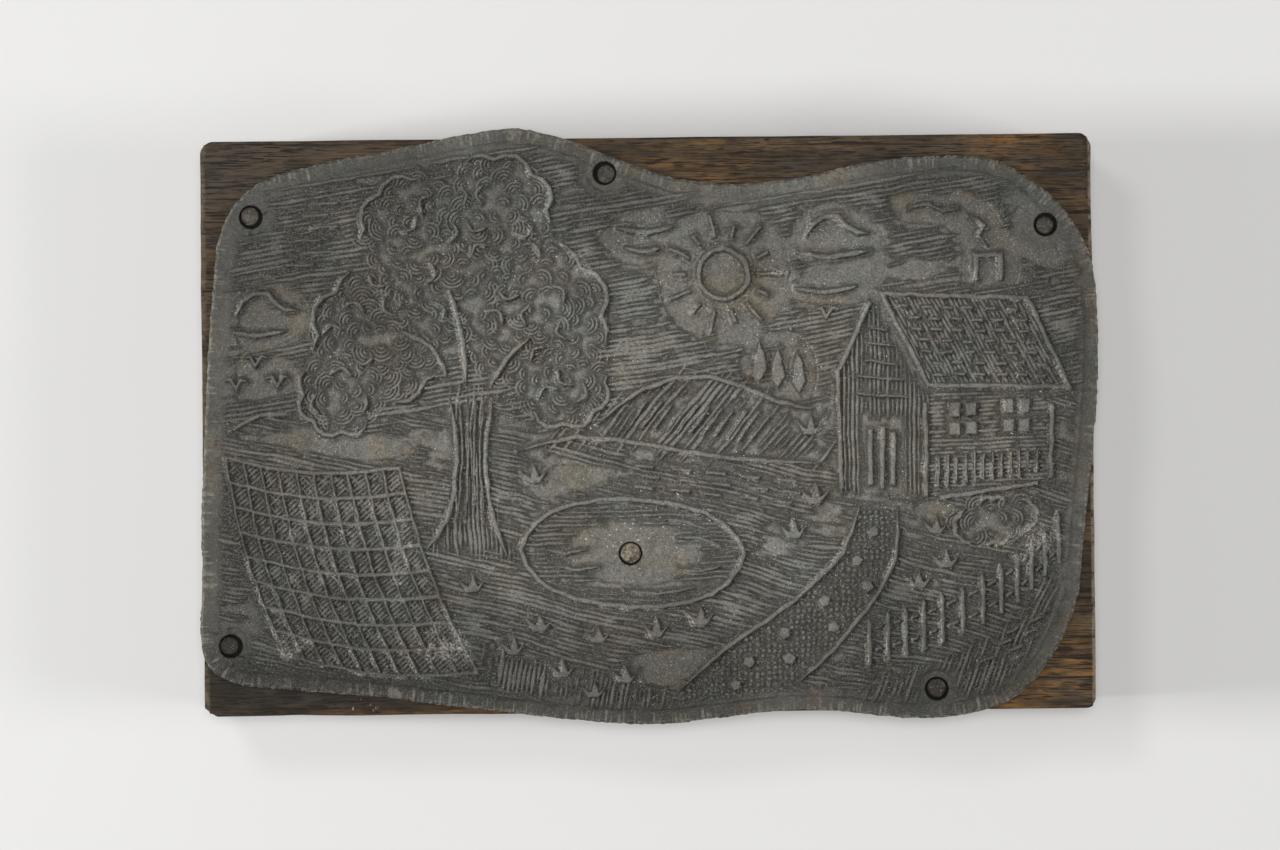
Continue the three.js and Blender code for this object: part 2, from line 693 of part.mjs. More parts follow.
// The ground between close lines, which stands above the open ground
function closeGround() {
  const edge = smoothLine(plateOutlineShares, closeSteps, true);
  const whole = prism(besideLine(edge, edge.map(() => -marginWidth), true), [], lineFootLevel, closeLevel);
  const calmWater = pondShares.map((share) => between(nailShares.middle, share, calmShare));
  const pits = [
    ...[...openShares, calmWater].map((shares) => smoothLine(shares, openSteps * shares.length, true)),
    ...Object.values(nailShares).map((share) =>
      circle(share, nailClearing / blockLength, clearingSides).map(placeOf),
    ),
  ];
  const cuts = pits.map((outline) => prism(outline, [], lineFootLevel - overrun, typeHeight + overrun));
  return whole.subtract(joinAll(cuts));
}

function reliefPlate() {
  const edge = smoothLine(plateOutlineShares, outlineSteps, true);
  const inner = besideLine(edge, edge.map(() => -edgeBevelWidth), true);
  const blank = solidOf(
    stackOf([
      [edge, blockTop],
      [edge, groundLevel - edgeBevelHeight],
      [inner, groundLevel],
    ]),
  );
  const scenes = [sun, sky, trees, hills, cottage, pond, field, path, fence, tone, grass];
  const picture = joinAll(scenes.flatMap((draw) => draw()));
  const counterbore = nailHeadRadius + headClearance;
  const hole = [
    [nailShankRadius + shankClearance, blockTop - overrun],
    [nailShankRadius + shankClearance, seatLevel],
    [counterbore, seatLevel],
    [counterbore, typeHeight + overrun],
  ];
  const holes = Object.values(nailShares).map((share) => solidOf(turned(hole, placeOf(share))));
  return geometryOf(holes.reduce((plate, bored) => plate.subtract(bored), blank.add(closeGround()).add(picture)));
}

function named(name, geometry, material) {
  const mesh = new THREE.Mesh(geometry, material);
  mesh.name = name;
  return mesh;
}

const printingBlock = new THREE.Group();
printingBlock.add(named("wood_block", woodBlock(), wood));
printingBlock.add(named("zinc_plate", reliefPlate(), zinc));
for (const [where, share] of Object.entries(nailShares)) {
  printingBlock.add(named(`nail_${where}`, nail(share), iron));
}

export default printingBlock;
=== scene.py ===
import math
import bmesh
import bpy
import numpy as np
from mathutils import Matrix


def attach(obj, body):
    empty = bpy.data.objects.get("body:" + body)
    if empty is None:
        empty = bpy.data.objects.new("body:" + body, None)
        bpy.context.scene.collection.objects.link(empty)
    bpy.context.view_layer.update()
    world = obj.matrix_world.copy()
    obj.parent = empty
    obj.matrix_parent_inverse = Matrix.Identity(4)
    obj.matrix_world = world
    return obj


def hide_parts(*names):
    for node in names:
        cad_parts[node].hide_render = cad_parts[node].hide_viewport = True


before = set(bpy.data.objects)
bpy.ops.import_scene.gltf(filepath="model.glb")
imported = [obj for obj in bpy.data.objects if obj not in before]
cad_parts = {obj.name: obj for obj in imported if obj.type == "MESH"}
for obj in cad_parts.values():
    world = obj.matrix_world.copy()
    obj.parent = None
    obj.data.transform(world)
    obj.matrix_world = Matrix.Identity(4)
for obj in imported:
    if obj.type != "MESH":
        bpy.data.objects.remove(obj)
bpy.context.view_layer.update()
print("frame loaded")

mm = 0.001  # all shapes below are worked out in millimetres

# camera and light

photo = {
    "width": 1280,  # pixels of the frame
    "height": 850,
    "scale": 7.97,  # pixels to a millimetre at the printing face
    "blockAt": (648.9, 424.9),  # pixel of the block's middle
    "turn": 0.56,  # degrees by which the block lies turned
    "distance": 620.0,  # from the printing face up to the lens
    "sensor": 36.0,
    "clip": (0.01, 20.0),  # metres
}

studio = {
    "lamps": [  # bearing and height in degrees, distance, width, and the light that it lays on the floor
        ("key", 182.0, 27.0, 800.0, 160.0, 0.29),
        ("raking", 132.0, 66.0, 800.0, 140.0, 0.1),
        ("fill", 354.0, 40.0, 800.0, 260.0, 0.16),
        ("overhead", 90.0, 88.7, 900.0, 120.0, 0.4),
    ],
    "sky": 0.085,
    "backdrop": (0.79, 0.785, 0.775),
    "floor": (0.79, 0.785, 0.775),
    "shade": (0.775, 0.77, 0.758),
    "floorHalf": 2500.0,
    "fade": (118.0, 300.0),  # how far off the floor passes into the backdrop
    "films": (),
    "noise": {"fibre": (0.8, 3.0, 0.6), "shades": (60.0, 2.0, 0.5)},  # a cell, detail and roughness
    "coats": [("shade", 0.3, ("shades", 0.3, 0.7))],
    "relief": {"fibre": 1.0},
    "bump": (0.02, 0.3),  # millimetres, and strength
}


def placed(values):
    return tuple(v * mm for v in values)


def linked(name, data):
    made = bpy.data.objects.new(name, data)
    bpy.context.scene.collection.objects.link(made)
    return made


def addCamera(printingFace):
    data = bpy.data.cameras.new("camera")
    data.sensor_width = photo["sensor"]
    data.lens = photo["sensor"] * photo["distance"] * photo["scale"] / photo["width"]
    data.clip_start, data.clip_end = photo["clip"]
    camera = linked("camera", data)
    turn = -math.radians(photo["turn"])
    right = (photo["width"] / 2 - photo["blockAt"][0]) / photo["scale"]
    up = (photo["blockAt"][1] - photo["height"] / 2) / photo["scale"]
    x = right * math.cos(turn) - up * math.sin(turn)
    y = right * math.sin(turn) + up * math.cos(turn)
    camera.location = placed((x, y, printingFace + photo["distance"]))
    camera.rotation_euler = (0, 0, turn)
    bpy.context.scene.camera = camera


def addLamp(name, bearing, height, distance, size, level):
    data = bpy.data.lights.new(name, "AREA")
    data.shape = "DISK"
    data.size = size * mm
    turn, lift = math.radians(bearing), math.radians(height)
    data.energy = level * math.pi ** 2 * (distance * mm) ** 2 / math.sin(lift)
    lamp = linked(name, data)
    flat = distance * math.cos(lift)
    lamp.location = placed((flat * math.cos(turn), flat * math.sin(turn), distance * math.sin(lift)))
    lamp.rotation_euler = lamp.location.to_track_quat("Z", "Y").to_euler()


# nodes of a material

class Wire:  # a socket with arithmetic
    def __init__(self, tree, node, output=0):
        self.tree = tree
        self.node = node
        self.socket = node.outputs[output] if node.outputs else None

    def other(self, output):
        return Wire(self.tree, self.node, output)

    def math(self, operation, *values):  # of this socket and the values after it
        inputs = dict(enumerate((self, *values)))
        return addNode(self.tree, "ShaderNodeMath", {"operation": operation}, inputs)

    def __add__(self, value):
        return self.math("ADD", value)

    def __sub__(self, value):
        return self.math("SUBTRACT", value)

    def __rsub__(self, value):
        return addNode(self.tree, "ShaderNodeMath", {"operation": "SUBTRACT"}, {0: value, 1: self})

    def __mul__(self, value):
        return self.math("MULTIPLY", value)

    __radd__ = __add__
    __rmul__ = __mul__


def addNode(tree, kind, settings=None, values=None, output=0):
    node = tree.nodes.new(kind)
    for name, setting in (settings or {}).items():
        setattr(node, name, setting)
    for name, value in (values or {}).items():
        socket = node.inputs[name]
        if isinstance(value, Wire):
            tree.links.new(value.socket, socket)
        elif isinstance(value, tuple) and socket.type == "RGBA":
            socket.default_value = (*value, 1)
        else:
            socket.default_value = value
    return Wire(tree, node, output)


class Finish:  # one material, and the colour that its coats build up
    def __init__(self, name, values, ground):
        self.material = bpy.data.materials.new(name)
        self.material.use_nodes = True
        self.tree = self.material.node_tree
        self.tree.nodes.clear()
        place = self.add("ShaderNodeTexCoord", output="Object")
        self.place = self.vector("SCALE", {0: place, "Scale": 1 / mm})
        self.values = values
        self.fields = {}
        self.colour = values[ground]

    def add(self, kind, settings=None, values=None, output=0):
        return addNode(self.tree, kind, settings, values, output)

    def vector(self, operation, values, output=0):
        return self.add("ShaderNodeVectorMath", {"operation": operation}, values, output)

    def between(self, value, low, high):
        span = {"Value": value, "From Min": low, "From Max": high}
        return self.add("ShaderNodeMapRange", {"interpolation_type": "SMOOTHSTEP"}, span)

    def away(self, centre, reach):  # distance from a place, in shares of the reach along x and y
        shift = self.vector("SUBTRACT", {0: self.place, 1: (*centre, 0.0)})
        shares = self.vector("MULTIPLY", {0: shift, 1: (1 / reach[0], 1 / reach[1], 0.0)})
        return self.vector("LENGTH", {0: shares}, "Value")

    def spot(self, centre, reach, full=0.4):  # 1 round a place, up to this share of the reach
        return self.between(self.away(centre, reach), 1.0, full)

    def field(self, name):  # a noise, or what the mesh stores, made when it is first asked for
        if name not in self.fields and name in self.values["noise"]:
            size, detail, rough, *twist = self.values["noise"][name]
            even = isinstance(size, float)
            self.fields[name] = self.add("ShaderNodeTexNoise", {}, {
                "Vector": self.place if even else self.vector("MULTIPLY", {0: self.place, 1: size}),
                "Scale": 1 / size if even else 1.0,
                "Detail": detail,
                "Roughness": rough,
                "Distortion": sum(twist),
            })
        elif name not in self.fields:
            self.fields[name] = self.add("ShaderNodeAttribute", {"attribute_name": name}, output="Fac")
        return self.fields[name]

    def mask(self, words):  # a field's name, the values that it rises between, and the mask's least value
        name, *numbers = [words] if isinstance(words, str) else words
        *span, least = numbers if len(numbers) % 2 else (*numbers, 0)
        mask = self.between(self.field(name), *span) if span else self.field(name)
        return least + (1 - least) * mask if least else mask

    def coats(self, rows):  # lays tones over each other, each where all its masks show
        for tone, factor, *masks in rows:
            for words in masks:
                factor = self.mask(words) * factor
            blend = "MULTIPLY" if tone in self.values["films"] else "MIX"
            values = {0: factor, 6: self.colour, 7: self.values[tone]}
            self.colour = self.add("ShaderNodeMix", {"data_type": "RGBA", "blend_type": blend}, values, 2)

    def surface(self, values, relief=0.0):
        for name, weight in self.values["relief"].items():
            relief = relief + self.field(name) * weight
        distance, strength = self.values["bump"]
        bump = {"Height": relief, "Distance": distance * mm, "Strength": strength}
        values = {"Base Color": self.colour, "Normal": self.add("ShaderNodeBump", {}, bump), **values}
        return self.add("ShaderNodeBsdfPrincipled", {}, values)

    def finish(self, shader):
        self.add("ShaderNodeOutputMaterial", {}, {"Surface": shader})
        return self.material


def rgb(red, green, blue):  # a colour read off a screen, made linear
    levels = (v / 255 for v in (red, green, blue))
    return tuple(v / 12.92 if v <= 0.04045 else ((v + 0.055) / 1.055) ** 2.4 for v in levels)


def addObject(name, points, faces, material):
    mesh = bpy.data.meshes.new(name)
    mesh.from_pydata([tuple(p) for p in points], [], faces)
    mesh.validate()
    mesh.polygons.foreach_set("use_smooth", [True] * len(mesh.polygons))
    mesh.materials.append(material)
    return linked(name, mesh)


# the relief: fields on one even grid

grid = {
    "step": 0.1,
    "halfLength": 57.5,
    "halfWidth": 39.5,
    "far": 3.0,  # a distance that stands for nothing near
    "cloudSpan": (130, 95),  # what a cloud covers before it repeats
    "cloudStart": (-62, -45),
}
stepsX = np.arange(-grid["halfLength"], grid["halfLength"] + 0.01, grid["step"])
stepsY = np.arange(-grid["halfWidth"], grid["halfWidth"] + 0.01, grid["step"])
gridX, gridY = np.meshgrid(stepsX, stepsY)


def cloud(cell, seed, x=gridX, y=gridY):  # smooth seeded noise from -1 to 1
    rng = np.random.default_rng(seed)
    columns, rows = (int(span / cell) + 4 for span in grid["cloudSpan"])
    lattice = rng.random((rows, columns)) * 2 - 1
    across = (x - grid["cloudStart"][0]) / cell
    along = (y - grid["cloudStart"][1]) / cell
    i = np.floor(across).astype(int)
    j = np.floor(along).astype(int)
    s = across - i
    t = along - j
    s = s * s * (3 - 2 * s)
    t = t * t * (3 - 2 * t)
    i, j, right, above = i % columns, j % rows, (i + 1) % columns, (j + 1) % rows
    low = lattice[j, i] * (1 - s) + lattice[j, right] * s
    high = lattice[above, i] * (1 - s) + lattice[above, right] * s
    return low * (1 - t) + high * t


def smooth(low, high, value):
    t = np.clip((value - low) / (high - low), 0, 1)
    return t * t * (3 - 2 * t)


def scatter(value, seed):  # a fixed random number from 0 to 1 for each whole number
    return np.modf(np.abs(np.sin(value * 12.9898 + seed) * 43758.5453))[0]


def within(polygon, x, y):
    found = np.zeros(x.shape, bool)
    for k in range(len(polygon)):
        x0, y0 = polygon[k - 1]
        x1, y1 = polygon[k]
        if y0 != y1:
            crosses = (y > min(y0, y1)) & (y <= max(y0, y1))
            found ^= crosses & (x < x0 + (y - y0) * (x1 - x0) / (y1 - y0))
    return found


def near(a, b, reach):  # the part of the grid round two points
    parts = []
    for k, steps in ((1, stepsY), (0, stepsX)):
        start = int((min(a[k], b[k]) - reach - steps[0]) / grid["step"])
        end = int((max(a[k], b[k]) + reach - steps[0]) / grid["step"]) + 2
        parts.append(slice(max(start, 0), max(end, 0)))
    return tuple(parts)


def toSegment(x, y, a, b):
    dx, dy = b[0] - a[0], b[1] - a[1]
    t = np.clip(((x - a[0]) * dx + (y - a[1]) * dy) / max(dx * dx + dy * dy, 1e-12), 0, 1)
    return np.hypot(x - a[0] - t * dx, y - a[1] - t * dy), t


def openEdges(triangles):  # edges that only one triangle has
    edges = set()
    for triangle in triangles:
        keys = [tuple(np.round(p, 4)) for p in triangle]
        edges.update((keys[k], keys[(k + 1) % 3]) for k in range(3))
    return [(a, b) for a, b in edges if (b, a) not in edges]


def covered(triangles, x, y):
    found = np.zeros(x.shape, bool)
    for corners in triangles:
        area = near(corners.min(0), corners.max(0), 0.2)
        px, py = x[area], y[area]
        hit = np.ones(px.shape, bool)
        for k in range(3):
            a, b = corners[k - 1], corners[k]
            hit &= (b[0] - a[0]) * (py - a[1]) - (b[1] - a[1]) * (px - a[0]) >= 0
        found[area] |= hit
    return found


def depthInside(mask, reach=2.0):  # how far inside a mask each point lies, up to a reach
    depth = np.zeros(mask.shape)
    left = mask.copy()
    for k in range(int(reach / grid["step"])):
        depth += left * grid["step"]
        padded = np.pad(left, 1)
        left = left & padded[:-2, 1:-1] & padded[2:, 1:-1] & padded[1:-1, :-2] & padded[1:-1, 2:]
        if k % 2:
            left &= padded[:-2, :-2] & padded[2:, 2:] & padded[2:, :-2] & padded[:-2, 2:]
    return depth


def nearest(edges, x, y, reach):  # distance to the nearest of some edges, up to a reach
    field = np.full(x.shape, reach)
    for a, b in edges:
        area = near(a, b, reach)
        distance, _ = toSegment(x[area], y[area], a, b)
        field[area] = np.minimum(field[area], distance)
    return field


def islandField(triangles, x, y):  # distance to the flat tops, less than zero on them
    field = nearest(openEdges(triangles), x, y, grid["far"])
    return np.where(covered(triangles, x, y), -field, field)


def edgeField(loop, reach=5.0):  # how far inside the outline, and how far along it
    distance = np.full(gridX.shape, reach)
    along = np.zeros(gridX.shape)
    run = 0.0
    for k in range(len(loop)):
        a, b = loop[k - 1], loop[k]
        area = near(a, b, reach)
        away, t = toSegment(gridX[area], gridY[area], a, b)
        length = math.dist(a, b)
        along[area] = np.where(away < distance[area], run + t * length, along[area])
        distance[area] = np.minimum(distance[area], away)
        run += length
    return np.where(within(loop, gridX, gridY), distance, -distance), along


def uneven(name):  # a sum of clouds
    return sum(size * cloud(cell, seed) for size, cell, seed in plate["uneven"][name])


def chained(following):  # closed runs, from each point on to the one that follows it
    loops = []
    while following:
        loop = [next(iter(following))]
        while loop[-1] in following:
            loop.append(following.pop(loop[-1]))
        loops.append(loop[1:])
    return loops


def hatch(tone, x, y, angle, pitch, width, seed, wobble, ragged, taper, breaks, breakSize):
    c, s = math.cos(angle), math.sin(angle)  # tone is the distance inside the hatched part
    across = -x * s + y * c + wobble * cloud(9.0, seed, x, y) + 0.2 * wobble * cloud(2.2, seed + 1, x, y)
    row = np.floor(across / pitch)
    offset = np.abs(across / pitch - row - 0.5) * pitch
    draw = scatter(row, seed)
    reach = tone + (draw - 0.5) * 2 * ragged
    if breaks > 0:
        phase = (x * c + y * s) / breakSize + draw * 17.3
        cell = np.floor(phase)
        gap = scatter(cell + row * 2.895, seed + 0.5) < breaks
        reach = np.where(gap, np.minimum(reach, (np.abs(phase - cell - 0.5) - 0.2) * breakSize), reach)
    half = np.where(reach > 0, np.minimum(reach / taper, 1) * width / 2, reach)
    return offset - half * (1 + 0.2 * cloud(1.3, seed + 2, x, y))


def stipple(tone, cell, radius, seed, x, y):
    i = np.floor(x / cell)
    j = np.floor(y / cell)
    first = scatter(i * 9.79 + j * 24.0, seed)
    second = scatter(i * 20.75 + j * 14.1, seed + 1)
    cx = (i + 0.3 + 0.4 * first) * cell
    cy = (j + 0.3 + 0.4 * second) * cell
    field = np.hypot(x - cx, y - cy) - radius * (0.7 + 0.6 * first)
    return np.where(tone > 0.2, field, grid["far"])


def insideBy(polygon, x, y, reach=4.0):  # distance inside a polygon, less than zero outside it
    distance = nearest(zip([polygon[-1], *polygon], polygon), x, y, reach)
    return np.where(within(polygon, x, y), distance, -distance)


def addStroke(field, points, halves, x, y):
    for k in range(len(points) - 1):
        area = near(points[k], points[k + 1], 1.0)
        distance, t = toSegment(x[area], y[area], points[k], points[k + 1])
        half = halves[k] * (1 - t) + halves[k + 1] * t
        field[area] = np.minimum(field[area], distance - half)


def spread(values, radius):  # mean over a square window
    count = int(radius / grid["step"])
    padded = np.pad(values, count + 1, mode="edge").cumsum(0).cumsum(1)
    size = 2 * count + 1
    total = padded[size:, size:] - padded[:-size, size:] - padded[size:, :-size] + padded[:-size, :-size]
    return total[: values.shape[0], : values.shape[1]] / size ** 2


# the picture on the plate: fine lines drawn between the frame's main lines

picture = {
    "lobes": [
        (-33.6, 11.5, 7.84), (-24.1, 19.8, 9.4), (-14.6, 13.7, 8.7), (-19.0, 27.0, 6.5),
        (-29.3, 24.8, 6.16), (-38.6, 4.3, 4.8), (-10.6, 5.4, 5.15),
    ],
    "bush": [(43.2, -12.4, 2.7), (46.5, -11.9, 1.9), (40.3, -13.1, 1.9)],
    "areas": {
        "sky": [
            (-57, 2), (-52.5, 0.6), (-49, 2.2), (-46, 2.6), (-43.5, 1.5), (-36, -1), (-26, 3), (-19, 3),
            (-12, -1.5), (-6.5, 0.8), (-2, 4.4), (4.5, 7.0), (11, 5.9), (17, 3.2), (22, 2.4), (23, 6.8),
            (53.8, 4), (58, 4), (58, 40), (-57, 40),
        ],
        "cottage": [(23.4, -9), (23.3, 6.8), (28.4, 17), (48.2, 16.2), (53.8, 3.8), (51.2, 3),
            (51, -8.2), (34.8, -10.2)],
        "field": [
            (-45.9, -28.6), (-40, -30.2), (-34, -31.2), (-28, -31.6), (-21.5, -31.2), (-26.5, -22.5),
            (-29.6, -14), (-31.2, -4.9), (-37, -6), (-42.3, -6), (-48, -5), (-53.3, -3.4), (-52.7, -12),
            (-50.2, -20),
        ],
        "pond": [
            (-16.2, -15.5), (-13.4, -19.8), (-6.7, -22.3), (2.2, -22.7), (9, -20.5), (11.8, -16.2),
            (8.4, -11.9), (1.1, -9.7), (-6.7, -9.4), (-13.4, -11.5),
        ],
        "path": [
            (26.4, -10.4), (24, -16.2), (17.9, -22.3), (9.5, -28), (3.4, -33.5), (4, -36), (18.5, -35.5),
            (18.5, -32.5), (22.4, -28.8), (26.9, -23.8), (30.8, -17), (31, -10.8),
        ],
        "trunk": [
            (-27.8, -15.3), (-25.5, -11.9), (-24.2, -4.3), (-24.9, 4.6), (-19.5, 4.6), (-20.6, -4.3),
            (-19.5, -12.2), (-17.9, -16.2),
        ],
        "hill": [
            (-6.7, 0), (-2, 3.6), (4.5, 6.1), (11, 5), (17, 2.5), (22.4, 1.8), (22.4, -5), (10, -4.3),
            (0, -2.5), (-9, -1.4), (-12, -2),
        ],
        "roof": [(29.3, 16.2), (35.2, 4.7), (52.9, 4.3), (47.6, 15.5)],
        "gable": [(24.2, -8.3), (24, 6.4), (28.2, 14.8), (34.6, 3), (34.6, -9.3)],
        "wall": [(35.2, -9.5), (50.2, -7.3), (50.4, 3), (35.2, 3.8)],
        "bank": [(-20, -33.5), (3, -37.5), (2.5, -33.5), (-10, -30.5), (-21, -28)],
        "verge": [(22, -36), (38, -37), (47, -34), (54, -20), (50.5, -19), (44.5, -26),
            (36, -30.6), (27, -32.8)],
    },
    "openWall": [(29.3, -4.3, 2.7, 5.2), (39.4, 0.4, 2.1, 2.5), (46.1, 0.7, 2.1, 2.5)],
    "dots": (0.72, 0.17, 65),  # on the path: their spacing, radius and seed
    "curl": {  # the leaves
        "onTree": 420,
        "onBush": 24,
        "tries": 30,
        "gap": 1.5,
        "turn": 0.7,  # how far they turn off facing outwards
        "moreArcs": 2.2,
        "step": 0.46,
        "half": 0.11,
        "bend": 0.42,
    },
}


def awayFromLobes(lobes, scale, x, y):
    return np.minimum.reduce([np.hypot(x - cx, y - cy) - radius * scale for cx, cy, radius in lobes])


def toneFields(x, y, depth):  # distance inside each hatched part of the picture
    tones = {name: insideBy(area, x, y) for name, area in picture["areas"].items()}
    clear = [-tones["cottage"], awayFromLobes(picture["lobes"], 1.12, x, y)]
    patches = 4.0 * (cloud(9.0, 201, x, y / 0.35) + 0.5 * cloud(4.0, 202, x, y / 0.3) + 0.8)
    land = -tones["sky"]
    tones["sky"] = np.minimum.reduce([tones["sky"], patches, *clear])
    clear = [-tones[name] for name in picture["areas"] if name not in ("sky", "roof", "gable", "wall")]
    clear += [awayFromLobes(picture["lobes"], 1.1, x, y), awayFromLobes(picture["bush"], 1.3, x, y)]
    patches = 3.0 * (cloud(6.0, 203, x, y / 0.5) + 0.4 * cloud(2.5, 204, x, y / 0.5) + 0.6)
    tones["meadow"] = np.minimum.reduce([land, patches, *clear])
    for cx, cy, halfX, halfY in picture["openWall"]:
        gap = np.maximum(np.abs(x - cx) - halfX, np.abs(y - cy) - halfY)
        tones["gable"] = np.minimum(tones["gable"], gap)
        tones["wall"] = np.minimum(tones["wall"], gap)
    tones["shaded"] = np.minimum(tones["field"], 3.0 * (cloud(9.0, 63, x, y) + 0.1))
    return {name: np.minimum(tone, depth - 0.2) for name, tone in tones.items()}


hatches = [  # part, angle, pitch, width, seed, wobble, ragged, taper, breaks and their size
    ("sky", 0.16, 0.6, 0.45, 31, 0.25, 1.0, 1.6, 0.16, 4.0),
    ("meadow", -0.22, 0.58, 0.42, 41, 0.6, 1.0, 1.6, 0.25, 3.4),
    ("hill", 0.91, 0.72, 0.48, 43, 0.5, 2.0, 2.4, 0.2, 5.0),
    ("field", 0.7, 0.5, 0.32, 45, 0.2, 0.15, 0.6, 0.15, 1.4),
    ("shaded", -0.85, 0.5, 0.2, 47, 0.2, 1.0, 1.6, 0.3, 2.4),
    ("pond", 0.0, 0.6, 0.4, 49, 0.5, 1.0, 2.4, 0.2, 4.0),
    ("roof", 2.05, 0.5, 0.32, 51, 0.15, 0.3, 0.5, 0.3, 1.6),
    ("gable", 1.57, 0.55, 0.36, 53, 0.15, 0.6, 1.6, 0.0, 2.0),
    ("wall", 0.03, 0.52, 0.34, 55, 0.1, 0.3, 0.5, 0.3, 1.5),
    ("trunk", 1.57, 0.5, 0.34, 57, 0.8, 1.0, 1.6, 0.12, 3.0),
    ("bank", 1.35, 0.6, 0.4, 59, 0.5, 1.0, 1.6, 0.25, 3.4),
    ("verge", 1.2, 0.6, 0.4, 60, 0.5, 1.0, 1.6, 0.25, 3.4),
]


def addCurls(field, lobes, wanted, x, y, rng):  # leaves: small nested arcs that face outwards
    curl = picture["curl"]
    taken = np.full((wanted, 2), 999.0)
    count = 0
    for _ in range(curl["tries"] * wanted):
        cx, cy, radius = lobes[rng.integers(len(lobes))]
        angle = rng.random() * 2 * math.pi
        away = radius * math.sqrt(rng.random())
        px, py = cx + away * math.cos(angle), cy + away * math.sin(angle)
        facing = angle + rng.normal(0, curl["turn"])
        arcs = 2 + int(rng.random() * curl["moreArcs"])
        if count == wanted or np.hypot(taken[:, 0] - px, taken[:, 1] - py).min() < curl["gap"]:
            continue
        taken[count] = (px, py)
        count += 1
        for ring in range(arcs):
            size = curl["step"] * (ring + 0.75)
            width = curl["half"] * (0.8 + 0.4 * rng.random())
            sweep = [facing + (k - 2.5) * (curl["bend"] + 0.05 * rng.random()) for k in range(6)]
            points = [(px + size * math.cos(a), py + size * math.sin(a)) for a in sweep]
            addStroke(field, points, [0.01, 0.8 * width, width, width, 0.8 * width, 0.01], x, y)


def fineLines(depth):
    x = gridX + uneven("drawnX")
    y = gridY + uneven("drawnY")
    field = np.full(gridX.shape, grid["far"])
    tones = toneFields(x, y, depth)
    for part, *row in hatches:
        field = np.minimum(field, hatch(tones[part], x, y, *row))
    field = np.minimum(field, stipple(tones["path"], *picture["dots"], x, y))
    rng = np.random.default_rng(77)
    addCurls(field, picture["lobes"], picture["curl"]["onTree"], x, y, rng)
    addCurls(field, picture["bush"], picture["curl"]["onBush"], x, y, rng)
    return field


# the etched plate

plate = {
    "sole": 21.7,  # where it lies on the wood
    "face": 23.3,
    "rim": 22.2,  # where the filed bevel meets the sawn side
    "bevel": 0.36,
    "close": 23.05,  # the frame's ground between close lines
    "shallow": 0.2,  # depth between close lines
    "deep": 0.42,  # what open ground is etched deeper by
    "sheltered": 0.32,  # and the ground beside a main line
    "leeReach": 1.1,
    "leeWay": (0.85, 0.53),  # right and down
    "margin": 1.7,  # routed smooth along the edge
    "nailClear": 2.4,
    "thinner": 0.11,  # main lines are cut finer than the frame's
    "seat": 22.15,
    "seatRadius": 1.45,
    "seatWall": [(-0.09, 0.0, -0.01), (0.0, 0.09, 0.02)],  # rings of points, and where they are drawn to
    "holeRadius": 0.85,
    "lineGap": 0.17,  # fine lines keep this off the main ones
    "between": 0.4,  # share of the deep ground that lies between fine lines
    "rounded": 0.02,  # what wear takes off the tops' edges
    "foot": {"shallow": 0.08, "deep": 0.12, "sheltered": 0.1},  # how far out each depth's slope reaches
    "lap": 120,
    "strokes": [  # file marks over the edge: size, cell, seed, and scales along and across the edge
        (1.0, 0.21, 98, 1.0, 0.04), (0.4, 0.6, 99, 1.3, 0.1),
    ],
    "strokeDepth": 0.03,
    "uv": {"edge": (0.985, 0.998), "hole": (0.97, 0.98), "sole": (0.38, 0.3, 0.7)},
    "uneven": {  # what wanders, each by clouds of a size, cell and seed
        "x": [(0.1, 1.7, 5), (0.05, 0.6, 6)], "y": [(0.1, 1.7, 7), (0.05, 0.6, 8)],
        "drawnX": [(0.08, 1.9, 25)], "drawnY": [(0.08, 1.9, 27)],
        "outline": [(0.06, 3.5, 9), (0.05, 0.9, 10), (0.06, 0.45, 11)],
        "margin": [(0.6, 4.0, 81), (0.4, 1.1, 82)], "nailClear": [(0.3, 2.0, 83)],
        "lines": [(0.035, 0.8, 91), (0.02, 0.35, 92)], "skin": [(0.02, 0.24, 96), (0.02, 0.6, 104)],
        "ground": [(0.04, 1.1, 93), (0.04, 0.45, 94), (0.05, 3.2, 95)],
        "filed": [(0.5, 6.0, 97)], "strokeEnds": [(0.8, 0.5, 102)], "rim": [(0.03, 1.5, 101)],
        "open": [(0.06, 1.4, 105)], "openEdge": [(0.5, 2.6, 107)], "lee": [(0.25, 3.0, 106)],
        "dustAndHighlight": [(1.0, 5.5, 108), (0.7, 1.3, 109)], "scuff": [(0.5, 0.8, 110)],
        "worn": [(0.45, 1.4, 111)],
    },
    "scuffs": [  # places where dust has gathered, and their reach
        (-47.0, -28.0, 4.4, 1.6), (-45.0, -12.9, 0.7, 1.2), (-31.5, -16.0, 1.6, 6.5),
        (-24.0, -27.5, 5.5, 3.0), (-8.0, 18.0, 1.5, 7.0), (18.0, 20.5, 3.4, 4.0),
        (22.2, 4.0, 1.7, 7.5), (47.5, -14.5, 4.6, 3.2),
    ],
    "nails": {
        "nail_left_top": (-49.728, 26.568),
        "nail_middle_top": (-5.264, 31.68),
        "nail_right_top": (50.064, 24.696),
        "nail_middle": (-2.464, -16.128),
        "nail_right_bottom": (35.84, -33.48),
        "nail_left_bottom": (-52.752, -27.288),
    },
}


def nailDistance(*left):  # to the nearest nail, but for those left out
    places = [place for name, place in plate["nails"].items() if name not in left]
    return np.minimum.reduce([np.hypot(gridX - cx, gridY - cy) for cx, cy in places])


